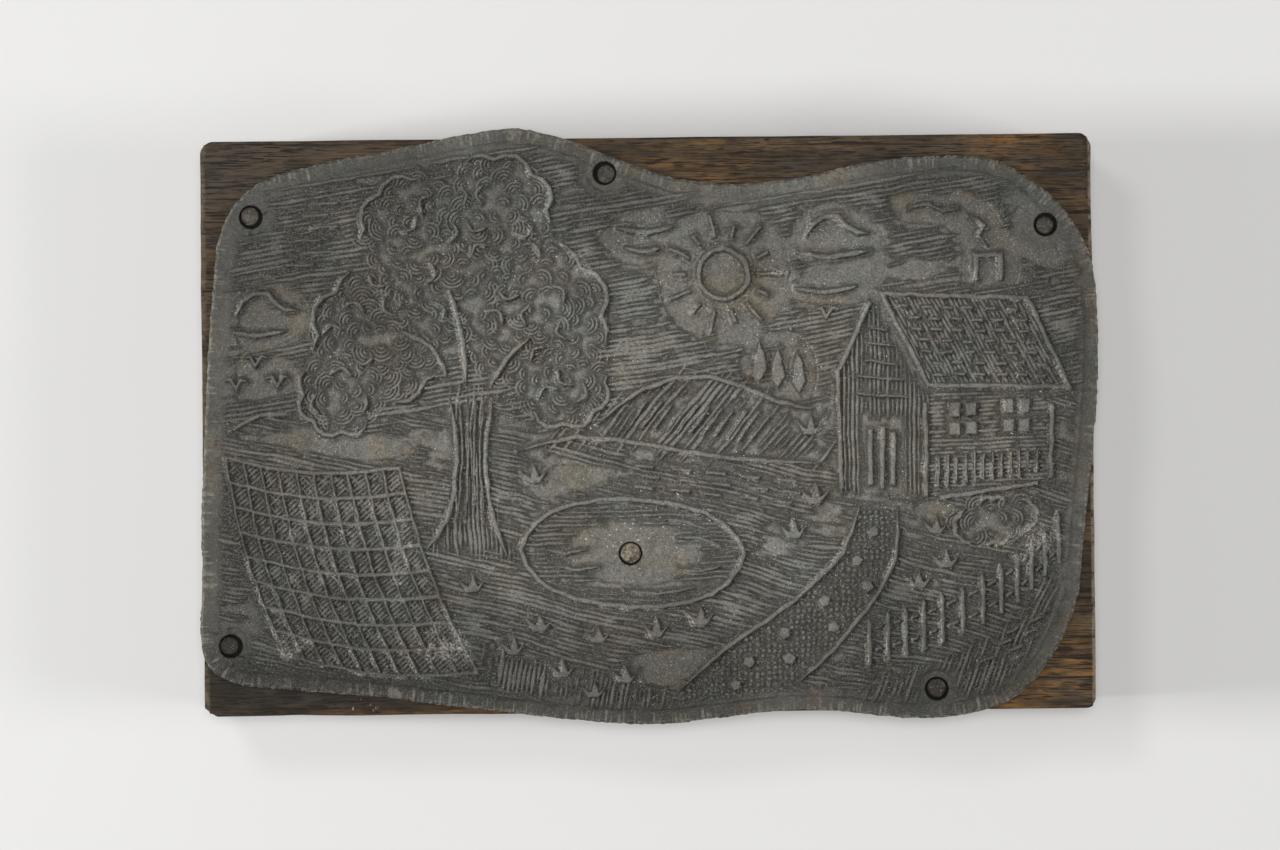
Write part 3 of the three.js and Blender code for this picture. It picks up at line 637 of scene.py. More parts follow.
def readPlate():  # the frame's flat tops and its outline, in millimetres
    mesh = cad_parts["zinc_plate"].data
    mesh.calc_loop_triangles()
    points = np.zeros(len(mesh.vertices) * 3)
    mesh.vertices.foreach_get("co", points)
    corners = np.zeros(len(mesh.loop_triangles) * 3, int)
    mesh.loop_triangles.foreach_get("vertices", corners)
    triangles = points.reshape(-1, 3)[corners].reshape(-1, 3, 3) / mm
    levels, flat = triangles[:, :, 2], triangles[:, :, :2]
    tops = flat[(levels > plate["face"] - 0.01).all(1)]
    close = flat[(abs(levels - plate["close"]) < 0.01).all(1)]
    soles = flat[(levels < plate["sole"] + 0.01).all(1)]
    outline = max(chained(dict(openEdges(soles))), key=len)
    return tops, close, outline[::-1]


def reliefFields():
    tops, close, outline = readPlate()
    x = gridX + uneven("x")
    y = gridY + uneven("y")
    main = islandField(tops, x, y) + plate["thinner"]
    edge, along = edgeField(outline)
    edge = edge + uneven("outline")
    raised = covered(close, x, y) | (main < plate["thinner"] - 0.01)
    fine = np.maximum(fineLines(depthInside(raised) - depthInside(~raised)), plate["lineGap"] - main)
    fine = np.maximum(fine, plate["margin"] + uneven("margin") - edge)
    fine = np.maximum(fine, plate["nailClear"] + uneven("nailClear") - nailDistance())
    field = np.minimum(main, fine) + uneven("lines")
    soft = spread(spread(raised.astype(float), 0.45), 0.3)
    opened = smooth(0.75, 0.2, soft + uneven("open")) * smooth(0.0, 0.7, main)
    opened *= np.where(edge < 3.5, smooth(3.3, 0.6, edge + uneven("openEdge")), 1)
    lee = leeOf(main < 0.02)
    return field, edge, along, opened, lee, dustAndHighlightOf(main)


def dustAndHighlightOf(main):  # whitish dust lies along the left feet of main lines, which is also a painted highlight where the key light falls, and plain dust where it was scuffed
    soft = spread(smooth(0.3, -0.1, main), 0.25)
    slopeY, slopeX = np.gradient(soft, grid["step"])
    dustAndHighlight = smooth(0.3, 1.0, slopeX + 0.35 * slopeY) * smooth(-0.1, 0.6, uneven("dustAndHighlight"))
    for x, y, reachX, reachY in plate["scuffs"]:
        away = np.hypot((gridX - x) / reachX, (gridY - y) / reachY) + uneven("scuff")
        dustAndHighlight = np.maximum(dustAndHighlight, smooth(1.0, 0.4, away) * smooth(0.9, 0.2, main))
    return dustAndHighlight


def leeOf(mask):  # ground that the main lines shelter, to their lower right, where the acid has bitten deeper; the zinc's colour paints their shadow there too
    steps = int(plate["leeReach"] / grid["step"])
    rows, columns = mask.shape
    lee = np.zeros(mask.shape)
    for k in range(1, steps):
        right, down = (int(round(k * share)) for share in plate["leeWay"])
        moved = np.zeros(mask.shape, bool)
        moved[: rows - down, right:] = mask[down:, : columns - right]
        lee = np.maximum(lee, moved * (1 - k / steps) ** 1.4)
    return lee * (0.75 + uneven("lee"))


def plateHeights(field, edge, along, opened, lee):
    foot = {name: smooth(-0.02, width, field) for name, width in plate["foot"].items()}
    routed = smooth(plate["margin"] + 1.2, plate["margin"], edge)
    between = plate["between"] * smooth(0.1, 0.6, field) * (1 - 0.8 * routed)
    depth = plate["shallow"] * foot["shallow"]
    depth += plate["deep"] * np.maximum(opened, between) * foot["deep"]
    depth += plate["sheltered"] * lee * foot["sheltered"] * (1 - opened)
    depth += plate["rounded"] * smooth(-0.14, 0.0, field)
    depth += smooth(0.15, 0.5, field) * uneven("ground") + uneven("skin")
    filed = 0
    for size, cell, seed, lengthwise, inward in plate["strokes"]:
        lap = along * lengthwise % plate["lap"] - plate["lap"] / 2
        filed = filed + size * cloud(cell, seed, lap, inward * edge)
    filed = filed * (0.5 + uneven("filed")) * smooth(2.0, 0.6, edge + uneven("strokeEnds"))
    depth += plate["strokeDepth"] * filed
    fall = plate["face"] - plate["rim"] - plate["shallow"] - plate["deep"]
    depth += fall * (1 - np.clip(edge / plate["bevel"], 0, 1)) ** 1.2
    away = nailDistance()
    seat = smooth(plate["seatRadius"] + 0.11, plate["seatRadius"] + 0.01, away)
    depth = np.where(away < plate["seatRadius"], plate["face"] - plate["seat"], depth)
    return plate["face"] - depth, filed, seat


def keptCells(points):
    kept = points[:-1, :-1] & points[1:, :-1] & points[:-1, 1:] & points[1:, 1:]
    for _ in range(3):  # cells that only meet at a corner are dropped
        a, b = kept[:-1, :-1], kept[:-1, 1:]
        c, d = kept[1:, :-1], kept[1:, 1:]
        kept[:-1, :-1] &= ~(a & d & ~b & ~c)
        kept[:-1, 1:] &= ~(b & c & ~a & ~d)
    return kept


def traceLoops(kept):  # closed runs of grid points round the kept cells
    padded = np.pad(kept, 1)
    middle = padded[1:-1, 1:-1]
    following = {}
    sides = [
        (padded[:-2, 1:-1], (0, 0), (0, 1)), (padded[1:-1, 2:], (0, 1), (1, 1)),
        (padded[2:, 1:-1], (1, 1), (1, 0)), (padded[1:-1, :-2], (1, 0), (0, 0)),
    ]
    for neighbour, first, second in sides:
        for r, c in np.argwhere(middle & ~neighbour):
            following[(r + first[0], c + first[1])] = (r + second[0], c + second[1])
    return sorted((np.array(loop) for loop in chained(following)), key=len, reverse=True)


def capFaces(loops):  # triangles that fill the outer loop but not the inner ones
    flat = bmesh.new()
    edges = []
    for loop in loops:
        made = [flat.verts.new((x, y, 0)) for x, y in loop]
        edges += [flat.edges.new((made[k - 1], made[k])) for k in range(len(made))]
    flat.verts.index_update()
    bmesh.ops.triangle_fill(flat, use_beauty=True, use_dissolve=False, edges=edges)
    faces = []
    for face in flat.faces:
        corners = [v.index for v in face.verts]
        faces.append(corners if face.normal.z < 0 else corners[::-1])
    flat.free()
    return np.array(faces)


def pulled(x, y, spots, centre, radius):  # these points, drawn onto a circle
    cx, cy = centre
    away = np.hypot(x[spots] - cx, y[spots] - cy)
    x[spots] = cx + (x[spots] - cx) * radius / away
    y[spots] = cy + (y[spots] - cy) * radius / away


def trueBorders(x, y, height, edge, loops):  # the stepped borders are drawn out to the true ones
    slopeY, slopeX = np.gradient(edge, grid["step"])
    steep = np.maximum(np.hypot(slopeX, slopeY), 0.5)
    outer = (loops[0][:, 0], loops[0][:, 1])
    x[outer] -= edge[outer] * slopeX[outer] / steep[outer] ** 2
    y[outer] -= edge[outer] * slopeY[outer] / steep[outer] ** 2
    height[outer] = plate["rim"] + uneven("rim")[outer]
    for loop in loops[1:]:
        spots = (loop[:, 0], loop[:, 1])
        first = (gridX[spots][0], gridY[spots][0])
        nail = min(plate["nails"].values(), key=lambda p: math.dist(p, first))
        pulled(x, y, spots, nail, plate["holeRadius"])
    for cx, cy in plate["nails"].values():
        away = np.hypot(x - cx, y - cy) - plate["seatRadius"]
        for low, high, target in plate["seatWall"]:
            pulled(x, y, (away > low) & (away <= high), (cx, cy), plate["seatRadius"] + target)


def buildPlate(material):
    field, edge, along, opened, lee, dustAndHighlight = reliefFields()
    height, filed, seat = plateHeights(field, edge, along, opened, lee)
    kept = keptCells((edge > 0.03) & (nailDistance() > plate["holeRadius"]))
    loops = traceLoops(kept)
    x, y = gridX.copy(), gridY.copy()
    trueBorders(x, y, height, edge, loops)

    used = np.zeros(gridX.shape, bool)
    for rows in (slice(None, -1), slice(1, None)):
        for columns in (slice(None, -1), slice(1, None)):
            used[rows, columns] |= kept
    index = np.full(gridX.shape, -1)
    count = int(used.sum())
    index[used] = np.arange(count)
    r, c = np.nonzero(kept)
    quads = np.stack([index[r, c], index[r, c + 1], index[r + 1, c + 1], index[r + 1, c]], 1)
    points = [np.stack([x[used], y[used], height[used]], 1)]
    half = np.array([grid["halfLength"], grid["halfWidth"]])
    uvScale = 1 / (2 * grid["halfLength"])
    topUv = (points[0][:, :2] + half) * uvScale
    walls, wallUv, low, total = [], [], [], count
    for loop in loops:
        r, c = loop[:, 0], loop[:, 1]
        upper = index[r, c]
        lower = total + np.arange(len(loop))
        total += len(loop)
        low.append(np.stack([x[r, c], y[r, c]], 1))
        points.append(np.column_stack([low[-1], np.full(len(loop), plate["sole"])]))
        run = np.arange(len(loop) + 1) / len(loop)
        walls.append(np.stack([np.roll(upper, -1), upper, lower, np.roll(lower, -1)], 1))
        bottom, top = plate["uv"]["edge" if loop is loops[0] else "hole"]
        u = np.stack([run[1:], run[:-1], run[:-1], run[1:]], 1)
        wallUv.append(np.stack([u, np.tile([top, top, bottom, bottom], (len(loop), 1))], 2))
    cap = capFaces(low)
    scale, *start = plate["uv"]["sole"]
    capUv = (np.concatenate(low)[cap] + half) * scale * uvScale + start
    points = np.concatenate(points)
    walls = np.concatenate(walls)
    faces = [*quads.tolist(), *walls.tolist(), *(cap + count).tolist()]
    etched = addObject("etched_plate", points * mm, faces, material)
    mesh = etched.data
    uvAll = [topUv[quads].reshape(-1, 2), np.concatenate(wallUv).reshape(-1, 2), capUv.reshape(-1, 2)]
    mesh.uv_layers.new(name="OFBake").data.foreach_set("uv", np.concatenate(uvAll).ravel())
    ends = np.zeros(len(mesh.edges) * 2, int)
    mesh.edges.foreach_get("vertices", ends)
    ends = ends.reshape(-1, 2)
    border = np.zeros(len(points), bool)
    border[np.unique(walls[:, :2])] = True
    sharp = border[ends].all(1) | (ends >= count).all(1)
    mesh.attributes.new("sharp_edge", "BOOLEAN", "EDGE").data.foreach_set("value", sharp)

    clearing = smooth(3.5, 2.7, nailDistance("nail_middle"))
    stored = {  # for the zinc's coats; the sides and sole have the second value
        "dustAndHighlight": (dustAndHighlight, 0.0),
        "hollow": (np.clip((spread(height, 0.4) - height) / 0.3 + 0.5, 0, 1), 0.5),
        "filed": (np.clip(filed, -1, 1) * 0.5 + 0.5, 0.5),
        "margin": (np.maximum(smooth(3.0, 2.2, edge), clearing), 1.0),
        "seat": (seat, 0.0),
        "opened": (opened, 0.0),
        "groove": (smooth(-0.01, 0.06, field) * (1 - opened) * smooth(0.9, 0.12, field), 0.0),
        "worn": (smooth(0.02, -0.07, field) * (0.55 + uneven("worn")), 0.0),
        # lee also places the painted shadow beside the main lines
        "lee": (lee * smooth(0.0, 0.1, field), 0.0),
        "edge": (smooth(0.55, 0.1, edge), 0.0),
    }
    for name, (values, elsewhere) in stored.items():
        data = np.full(len(points), elsewhere, np.float32)
        data[:count] = values[used]
        mesh.attributes.new(name, "FLOAT", "POINT").data.foreach_set("value", data)
    return etched


zinc = {
    "grey": rgb(122, 120, 113),
    "dark": rgb(74, 73, 69),
    "warm": rgb(120, 117, 109),
    "pale": rgb(164, 159, 147),
    "chalkAndHighlight": rgb(182, 178, 168),
    "rubbed": rgb(128, 126, 119),
    "speck": rgb(214, 211, 200),
    # ink residue, also laid as painted shade in grooves and hollows, as painted shadow beside the main
    # lines, and for places darker towards the bottom
    "ink": rgb(32, 31, 29),
    # dirt and painted shade for the counterbores
    "grimeAndShade": rgb(10, 10, 9),
    "rosy": (1.07, 0.99, 0.9),
    "cool": (0.97, 1.01, 1.04),
    "films": ("rosy", "cool"),  # these tint what they cover
    "middle": ((0.0, 0.0), (57.0, 37.0)),
    "lightReach": (1.15, 0.35),  # from the plate's edge to its lighter middle
    "lightWaver": 1.3,
    "gloom": [  # places darker towards the bottom: middle, reach and strength
        ((-46.0, -35.0), (34.0, 12.0), 0.5), ((40.0, -38.0), (22.0, 13.0), 0.22),
        ((-4.0, -36.0), (30.0, 13.0), 0.25),
    ],
    "noise": {  # a cell in millimetres, detail and roughness
        "broad": (17.0, 3.0, 0.5), "patches": (3.1, 4.0, 0.6), "blotches": (0.8, 4.0, 0.7),
        "grain": (0.28, 3.0, 0.8), "grit": (0.17, 2.0, 0.6), "clusters": (5.5, 3.0, 0.5),
        "crust": (0.32, 3.0, 0.8), "powder": (0.3, 3.0, 0.85), "specks": (0.24, 1.0, 0.5),
        "hue": (6.5, 4.0, 0.6), "fringe": (0.5, 3.0, 0.7),
    },
    "under": [  # tone, strength and masks
        ("grey", 1.0, "light"),
        ("warm", 0.5, "opened", "inner", ("light", 0.35)),
        ("dark", 0.4, ("patches", 0.56, 0.4), "opened"),
        ("dark", 0.5, ("patches", 0.48, 0.66)),
        ("pale", 0.6, ("blotches", 0.46, 0.68), ("foot", 0.25), ("light", 0.3)),
        ("pale", 0.85, ("crust", 0.4, 0.56), "foot", ("clusters", 0.46, 0.58), ("light", 0.4)),
    ],
    "over": [
        ("dark", 0.45, ("filed", 0.5, 0.68)),
        ("pale", 0.32, ("filed", 0.5, 0.3)),
        ("rubbed", 0.6, "worn", ("light", 0.5)),
        # ink residue and painted shade in the narrow grooves between fine lines
        ("ink", 0.68, "groove", ("inner", 0.15)),
        # painted shadow to the lower right of the main lines
        ("ink", 1.0, "leeInk"),
        # ink residue and painted shade in the hollows
        ("ink", 0.45, ("hollow", 0.55, 0.95), ("inner", 0.15)),
        ("dark", 0.4, ("blotches", 0.5, 0.3)),
        ("dark", 0.8, ("grain", 0.5, 0.62)),
        ("pale", 0.4, ("grit", 0.47, 0.32), ("inner", 0.55)),
        # pale dust, and a painted highlight on the left feet of the main lines
        ("chalkAndHighlight", 0.7, ("powder", 0.44, 0.6), "dustAndHighlight"),
        ("speck", 1.0, ("specks", 0.68, 0.76), ("clusters", 0.46, 0.58, 0.15), ("inner", 0.2),
            ("light", 0.4)),
        ("rosy", 1.0, ("hue", 0.5, 0.64), ("opened", 0.4)),
        ("cool", 1.0, ("hue", 0.48, 0.36)),
        ("pale", 0.6, ("fringe", 0.45, 0.62), "edge"),
        # grime and painted shade in the counterbores round the nail heads
        ("grimeAndShade", 0.97, "seat"),
    ],
    "relief": {"grain": 0.7, "grit": 0.3, "blotches": 0.8},
    "bump": (0.18, 1.0),  # millimetres, and strength
    "roughness": 0.47,
    "metallic": 0.28,
    "specular": 0.12,
}


def zincFinish():
    finish = Finish("etched_zinc", zinc, "dark")
    margin, lee = finish.field("margin"), finish.field("lee")
    waver = (finish.field("broad") - 0.5) * zinc["lightWaver"]
    light = finish.between(finish.away(*zinc["middle"]) + waver, *zinc["lightReach"])
    finish.fields.update(light=light, inner=1 - margin)
    foot = finish.mask(("opened", 0.25, 0.6)) * finish.mask(("opened", 1.0, 0.75))  # of the lines
    # painted shadow: ink laid where the main lines' shade falls, to their lower right
    leeInk = lee * finish.mask(("inner", 0.15)) * 0.6 + finish.mask(("lee", 0.35, 0.75)) * 0.3
    finish.fields.update(foot=foot * finish.field("inner"), leeInk=leeInk)
    finish.coats(zinc["under"])
    # darker towards the bottom of the plate
    for centre, reach, strength in zinc["gloom"]:
        finish.fields["gloom"] = finish.spot(centre, reach) * (strength + 0.25 * margin)
        finish.coats([("ink", 1.0, "gloom")])
    finish.coats(zinc["over"])
    return finish.finish(finish.surface({
        "Roughness": zinc["roughness"] + 0.2 * finish.mask(("patches", 0.3, 0.75)),
        "Metallic": (1 - finish.field("seat")) * (1 - 0.6 * finish.field("groove")) * zinc["metallic"],
        "Specular IOR Level": zinc["specular"],
    }))


# the wooden block

wood = {
    "halfLength": 56.0,
    "halfWidth": 36.0,
    "top": 21.7,
    "fineStep": 0.2,
    "coarseStep": 0.75,
    "fineReach": 2.2,
    "corners": [  # ends in x and y, sizes of the worn corner, and its roundness
        (1, 1, 1.6, 1.6, 2.0), (-1, 1, 1.5, 1.5, 2.0), (-1, -1, 1.4, 0.9, 1.15), (1, -1, 1.2, 1.2, 2.0),
    ],
    "fuller": 0.18,  # the sides stand a little proud of the frame's
    "arris": 0.36,
    "uneven": {  # stretch, size, cell and seed of each wave
        "arris": [((1, 1, 1), 0.16, 5.0, 11), ((1, 1, 1), 0.1, 1.7, 12)],
        "planed": [((1, 1, 1), 0.05, 9.0, 13), ((0.15, 1, 1), 0.025, 0.8, 14)],
        "sawn": [((1, 0.2, 0.2), 0.03, 0.7, 15)],
    },
    "chips": [(-51.5, 36, 0.5, 1.6), (-44.5, -36, 0.6, 2.4), (15.3, 36, 0.35, 0.8), (30, -36, 0.3, 1.5)],
    "rightEnd": (54.5, 55.5),  # where its more worn arris starts
    "holeRadius": 0.8,
    "holeFoot": 9.3,
    "uvScale": 0.0042,
    "uvAreas": [  # the axes laid along u and v, and where each side starts
        (1, 2, 0.0, 0.66), (1, 2, 0.0, 0.86), (0, 2, 0.34, 0.66),
        (0, 2, 0.34, 0.86), (0, 1, 0.0, 0.0), (0, 1, 0.5, 0.0),
    ],
    "pore": rgb(10, 9, 7),
    "dark": rgb(34, 29, 23),
    "brown": rgb(85, 71, 54),
    "grey": rgb(70, 64, 57),
    "rust": rgb(122, 88, 48),
    "endGrain": rgb(104, 86, 62),
    "ink": rgb(27, 25, 22),
    "bare": rgb(150, 136, 112),
    "fleck": rgb(190, 184, 170),
    "films": (),
    "worn": [  # where the stain has worn off: middle, reach and strength
        ((2.0, 34.0), (17.0, 14.0), 0.5), ((46.5, 36.0), (8.0, 4.0), 1.0),
        ((49.0, -32.5), (12.0, 10.0), 1.1), ((50.0, 30.0), (12.0, 7.0), 0.4),
        ((-29.0, -36.2), (19.0, 1.4), 1.6),
    ],
    "flecksAt": ((-36.9, -35.0), (3.0, 1.2), 0.6),
    "pith": (17.0, -34.0),  # the middle of the tree, in y and z, off the block
    "ringWidth": 2.7,
    "ringWaver": 2.4,
    "noise": {  # a cell in millimetres or cells to a millimetre each way, detail, roughness and twist
        "streaks": ((0.09, 2.7, 2.0), 4.0, 0.65, 0.3), "bands": ((0.02, 0.3, 0.2), 3.0, 0.5, 0.3),
        "pores": ((0.3, 4.6, 4.2), 2.0, 0.6, 0.15), "lines": ((0.12, 3.4, 2.8), 3.0, 0.7, 0.3),
        "fibres": ((0.5, 9.0, 9.0), 3.0, 0.6), "stain": (16.0, 3.0, 0.5),
        "blotches": ((0.16, 0.75, 0.6), 4.0, 0.65, 0.2), "deeper": ((0.12, 0.6, 0.6), 2.0, 0.5),
        "checks": ((0.06, 2.9, 2.9), 1.0, 0.5, 0.15), "flecks": ((2.6, 1.1, 1.0), 2.0, 0.5),
        "mottle": ((0.35, 0.9, 0.9), 3.0, 0.6), "wander": (14.0, 3.0, 0.5),
        "sawn": ((0.2, 2.6, 0.16), 2.0, 0.6), "scuffs": (1.3, 3.0, 0.6),
    },
    "coats": [  # tone, strength and masks
        ("brown", 1.0, ("bands", 0.36, 0.62, 0.3)),
        ("grey", 0.75, ("x", -30.0, -50.0), ("y", 20.0, 32.0)),
        ("rust", 1.0, "rusty"),
        ("dark", 0.4, ("streaks", 0.48, 0.34)),
        ("dark", 0.42, ("lines", 0.52, 0.64)),
        ("ink", 1.0, ("x", -10.0, -45.0), ("y", -15.0, -33.0), ("y", -36.0, -35.3),
            ("streaks", 0.56, 0.44, 0.6)),
        ("pore", 0.95, ("pores", 0.55, 0.6), ("deeper", 0.42, 0.56, 0.263)),
        ("pore", 0.8, ("checks", 0.6, 0.66)),
        ("fleck", 0.8, ("flecks", 0.64, 0.68), "nearFlecks"),
        ("dark", 0.3, ("fibres", 0.5, 0.7)),
        ("dark", 0.45, ("stain", 0.5, 0.62)),
        ("dark", 0.5, ("mottle", 0.5, 0.62)),
        ("grey", 0.3, ("mottle", 0.46, 0.36)),
        ("dark", 0.6, "onEnd", ("late", 0.333)),
        ("endGrain", 0.25, "onEnd", ("year", 0.4, 0.1)),
        ("grey", 0.45, "onEnd", ("sawn", 0.53, 0.66)),
        ("bare", 0.75, ("endward", 55.35, 55.75), ("z", 20.7, 21.3), ("scuffs", 0.36, 0.56),
            ("x", -50.0, 50.0, 0.293)),
    ],
    "relief": {"fibres": 0.35, "streaks": 0.6},
    "bump": (0.08, 0.8),  # millimetres, and strength
    "roughness": 0.6,
    "specular": 0.2,
}


def gradedLine(low, high):
    fine = np.arange(0, wood["fineReach"], wood["fineStep"])
    count = int((high - low - 2 * wood["fineReach"]) / wood["coarseStep"])
    middle = np.linspace(low + wood["fineReach"], high - wood["fineReach"], count)
    return np.concatenate([low + fine, middle, (high - fine)[::-1]])


def boxSurface(lineX, lineY, lineZ):  # grid points of a box's skin, and its faces
    sizes = (len(lineX), len(lineY), len(lineZ))
    skin = np.zeros(sizes, bool)
    skin[[0, -1]] = True
    skin[:, [0, -1]] = True
    skin[:, :, [0, -1]] = True
    index = np.full(sizes, -1)
    index[skin] = np.arange(skin.sum())
    i, j, k = np.nonzero(skin)
    points = np.stack([lineX[i], lineY[j], lineZ[k]], 1)
    faces = []
    for axis in range(3):
        for end in (0, -1):
            slab = index.take(end, axis)
            quads = np.stack([slab[:-1, :-1], slab[1:, :-1], slab[1:, 1:], slab[:-1, 1:]], -1).reshape(-1, 4)
            faces.append(quads if (end == 0) == (axis == 1) else quads[:, ::-1])
    return points, faces


def solidNoise(points, cell, seed):  # smooth seeded noise in space, from -1 to 1
    rng = np.random.default_rng(seed)
    lattice = rng.random((64, 64, 64)) * 2 - 1
    at = points / cell + 400
    base = np.floor(at).astype(int)
    part = at - base
    part = part * part * (3 - 2 * part)
    total = 0
    for corner in np.ndindex(2, 2, 2):
        weight = np.where(corner, part, 1 - part).prod(1)
        i, j, k = (base + corner).T % 64
        total = total + weight * lattice[i, j, k]
    return total


def unevenWood(name, points):
    waves = wood["uneven"][name]
    return sum(size * solidNoise(points * stretch, cell, seed) for stretch, size, cell, seed in waves)


def wornBlock(points):
    x, y, z = points.T.copy()
    flatX, flatY, flatZ = points.T
    for signX, signY, sizeX, sizeY, roundness in wood["corners"]:
        qx = (x * signX - wood["halfLength"] + sizeX) / sizeX
        qy = (y * signY - wood["halfWidth"] + sizeY) / sizeY
        corner = (qx > 0) & (qy > 0)
        length = (qx[corner] ** roundness + qy[corner] ** roundness) ** (1 / roundness)
        shrink = np.maximum(qx[corner], qy[corner]) / length
        x[corner] = signX * (wood["halfLength"] - sizeX + qx[corner] * shrink * sizeX)
        y[corner] = signY * (wood["halfWidth"] - sizeY + qy[corner] * shrink * sizeY)
    arris = wood["arris"] + unevenWood("arris", points)
    arris = arris + (0.2 + 0.55 * smooth(22, 34, flatY)) * smooth(*wood["rightEnd"], flatX)
    for cx, cy, size, reach in wood["chips"]:
        arris = arris + size * smooth(reach, 0.2 * reach, np.hypot(flatX - cx, flatY - cy))
    gapX = wood["halfLength"] - np.abs(flatX)
    gapY = wood["halfWidth"] - np.abs(flatY)
    reach = arris - np.minimum(gapX, gapY)
    outX, outY = np.sign(x) * (gapX < 1e-6), np.sign(y) * (gapY < 1e-6)
    for level, up in ((wood["top"], 1), (0.0, -1)):
        rise = arris - np.abs(flatZ - level)
        close = (rise > 0) & (reach > 0)
        shrink = np.maximum(rise, reach) / np.hypot(rise, reach)
        inward = np.where(close, reach * (1 - shrink), 0)
        z = z - up * np.where(close, rise * (1 - shrink), 0)
        x = x - np.where(gapX <= gapY, np.sign(x), 0) * inward
        y = y - np.where(gapY < gapX, np.sign(y), 0) * inward
    wave = unevenWood("planed", points)
    x = x + outX * (wave + unevenWood("sawn", points) + np.where(x < 0, wood["fuller"], -0.05))
    y = y + outY * (wave + wood["fuller"])
    z = z + (np.abs(flatZ - wood["top"]) < 1e-6) * (0.5 * wave - 0.04)
    return np.stack([x, y, z], 1)


def cutHoles(block):
    cutter = bmesh.new()
    rim = wood["top"] + 2  # the cutters reach out of the wood
    radius = wood["holeRadius"] * mm
    for cx, cy in plate["nails"].values():
        made = bmesh.ops.create_cone(
            cutter, cap_ends=True, segments=20, radius1=radius, radius2=radius,
            depth=(rim - wood["holeFoot"]) * mm,
        )
        middle = placed((cx, cy, (rim + wood["holeFoot"]) / 2))
        bmesh.ops.translate(cutter, verts=made["verts"], vec=middle)
    mesh = bpy.data.meshes.new("nail_holes")
    cutter.to_mesh(mesh)
    cutter.free()
    tool = linked("nail_holes", mesh)
    change = block.modifiers.new("holes", "BOOLEAN")
    change.object = tool
    change.operation = "DIFFERENCE"
    change.solver = "EXACT"
    bpy.context.view_layer.update()
    cut = bpy.data.meshes.new_from_object(block.evaluated_get(bpy.context.evaluated_depsgraph_get()))
    block.modifiers.clear()
    block.data = cut
    bpy.data.objects.remove(tool)


def buildBlock(material):
    lineX = gradedLine(-wood["halfLength"], wood["halfLength"])
    lineY = gradedLine(-wood["halfWidth"], wood["halfWidth"])
    lineZ = gradedLine(0.0, wood["top"])
    flat, faces = boxSurface(lineX, lineY, lineZ)
    block = addObject("worn_block", wornBlock(flat) * mm, np.concatenate(faces).tolist(), material)
    fromEnd = flat + [wood["halfLength"], wood["halfWidth"], 0.0]
    spots = []
    for quads, (a, b, u, v) in zip(faces, wood["uvAreas"]):
        spots.append((fromEnd[quads][:, :, [a, b]] * wood["uvScale"] + [u, v]).reshape(-1, 2))
    block.data.uv_layers.new(name="OFBake").data.foreach_set("uv", np.concatenate(spots).ravel())
    cutHoles(block)
    return block


def woodFinish():
    finish = Finish("hardwood", wood, "dark")
    field, mask = finish.field, finish.mask
    x = finish.add("ShaderNodeSeparateXYZ", {}, {"Vector": finish.place})
    y, z = x.other("Y"), x.other("Z")
    across, upward = y - wood["pith"][0], z - wood["pith"][1]
    fromPith = (across * across + upward * upward).math("SQRT")
    rings = fromPith * (1 / wood["ringWidth"]) + wood["ringWaver"] * field("wander")
    patchy = field("blotches") + 0.2 * field("streaks")
    finish.fields.update(x=x, y=y, z=z, endward=x.math("ABSOLUTE"), year=rings.math("FRACT"), patchy=patchy)
    rusty = 0.12 * mask(("streaks", 0.42, 0.62))
    flaking = mask(("patchy", 0.46, 0.76)) * mask(("z", 12.0, 20.0, 0.4))
    for centre, reach, strength in wood["worn"]:
        rusty = rusty + strength * finish.spot(centre, reach) * flaking
    finish.fields.update(
        rusty=rusty.math("MINIMUM", 1.0),
        nearFlecks=finish.spot(*wood["flecksAt"]),
        late=mask(("year", 0.35, 0.85)) * mask(("year", 1.0, 0.9)),
        onEnd=mask(("endward", 55.5, 55.8)),
    )
    finish.coats(wood["coats"])
    relief = field("onEnd") * field("sawn") * 1.2 - mask(("pores", 0.52, 0.62))
    return finish.finish(finish.surface({
        "Roughness": wood["roughness"] + 0.2 * mask(("streaks", 0.3, 0.7)),
        "Specular IOR Level": wood["specular"],
    }, relief))


# nails

nailShape = {
    "seat": 22.15,
    "headTop": 22.65,
    "crown": (0.12, 0.004, 1.6),  # the head's rings: share of the radius, and how they fall away
    "shoulder": [(0.92, 0.11), (0.975, 0.16), (1.0, 0.24)],  # share of the radius, and depth under the top
    "shankRadius": 0.7,
    "pointStart": 11.65,
    "tip": 9.45,
    "tipRadius": 0.1,
    "sides": 48,
    "lean": 0.02,
    "dents": 0.02,
    "heads": {  # each head's radius, and how far it sits off the middle of its seat
        "nail_left_top": (1.16, -0.17, 0.1),
        "nail_middle_top": (1.14, 0.18, -0.14),
        "nail_right_top": (1.08, -0.08, -0.08),
        "nail_middle": (1.28, 0, 0.05),
        "nail_right_bottom": (1.19, 0.0, 0.1),
        "nail_left_bottom": (1.15, -0.23, 0.02),
    },
}


def nailProfile(radius):  # radius and height of each ring, from the crown down to the point
    top, seat, shank = nailShape["headTop"], nailShape["seat"], nailShape["shankRadius"]
    share, fall, power = nailShape["crown"]
    profile = [(share * radius * k, top - fall * k ** power) for k in range(1, 8)]
    profile += [(share * radius, top - depth) for share, depth in nailShape["shoulder"]]
    profile += [(radius, seat + 0.06), (0.96 * radius, seat), (shank, seat)]
    profile += [(shank, z) for z in np.linspace(seat - 0.4, nailShape["pointStart"], 12)]
    return profile + [(nailShape["tipRadius"], nailShape["tip"])]


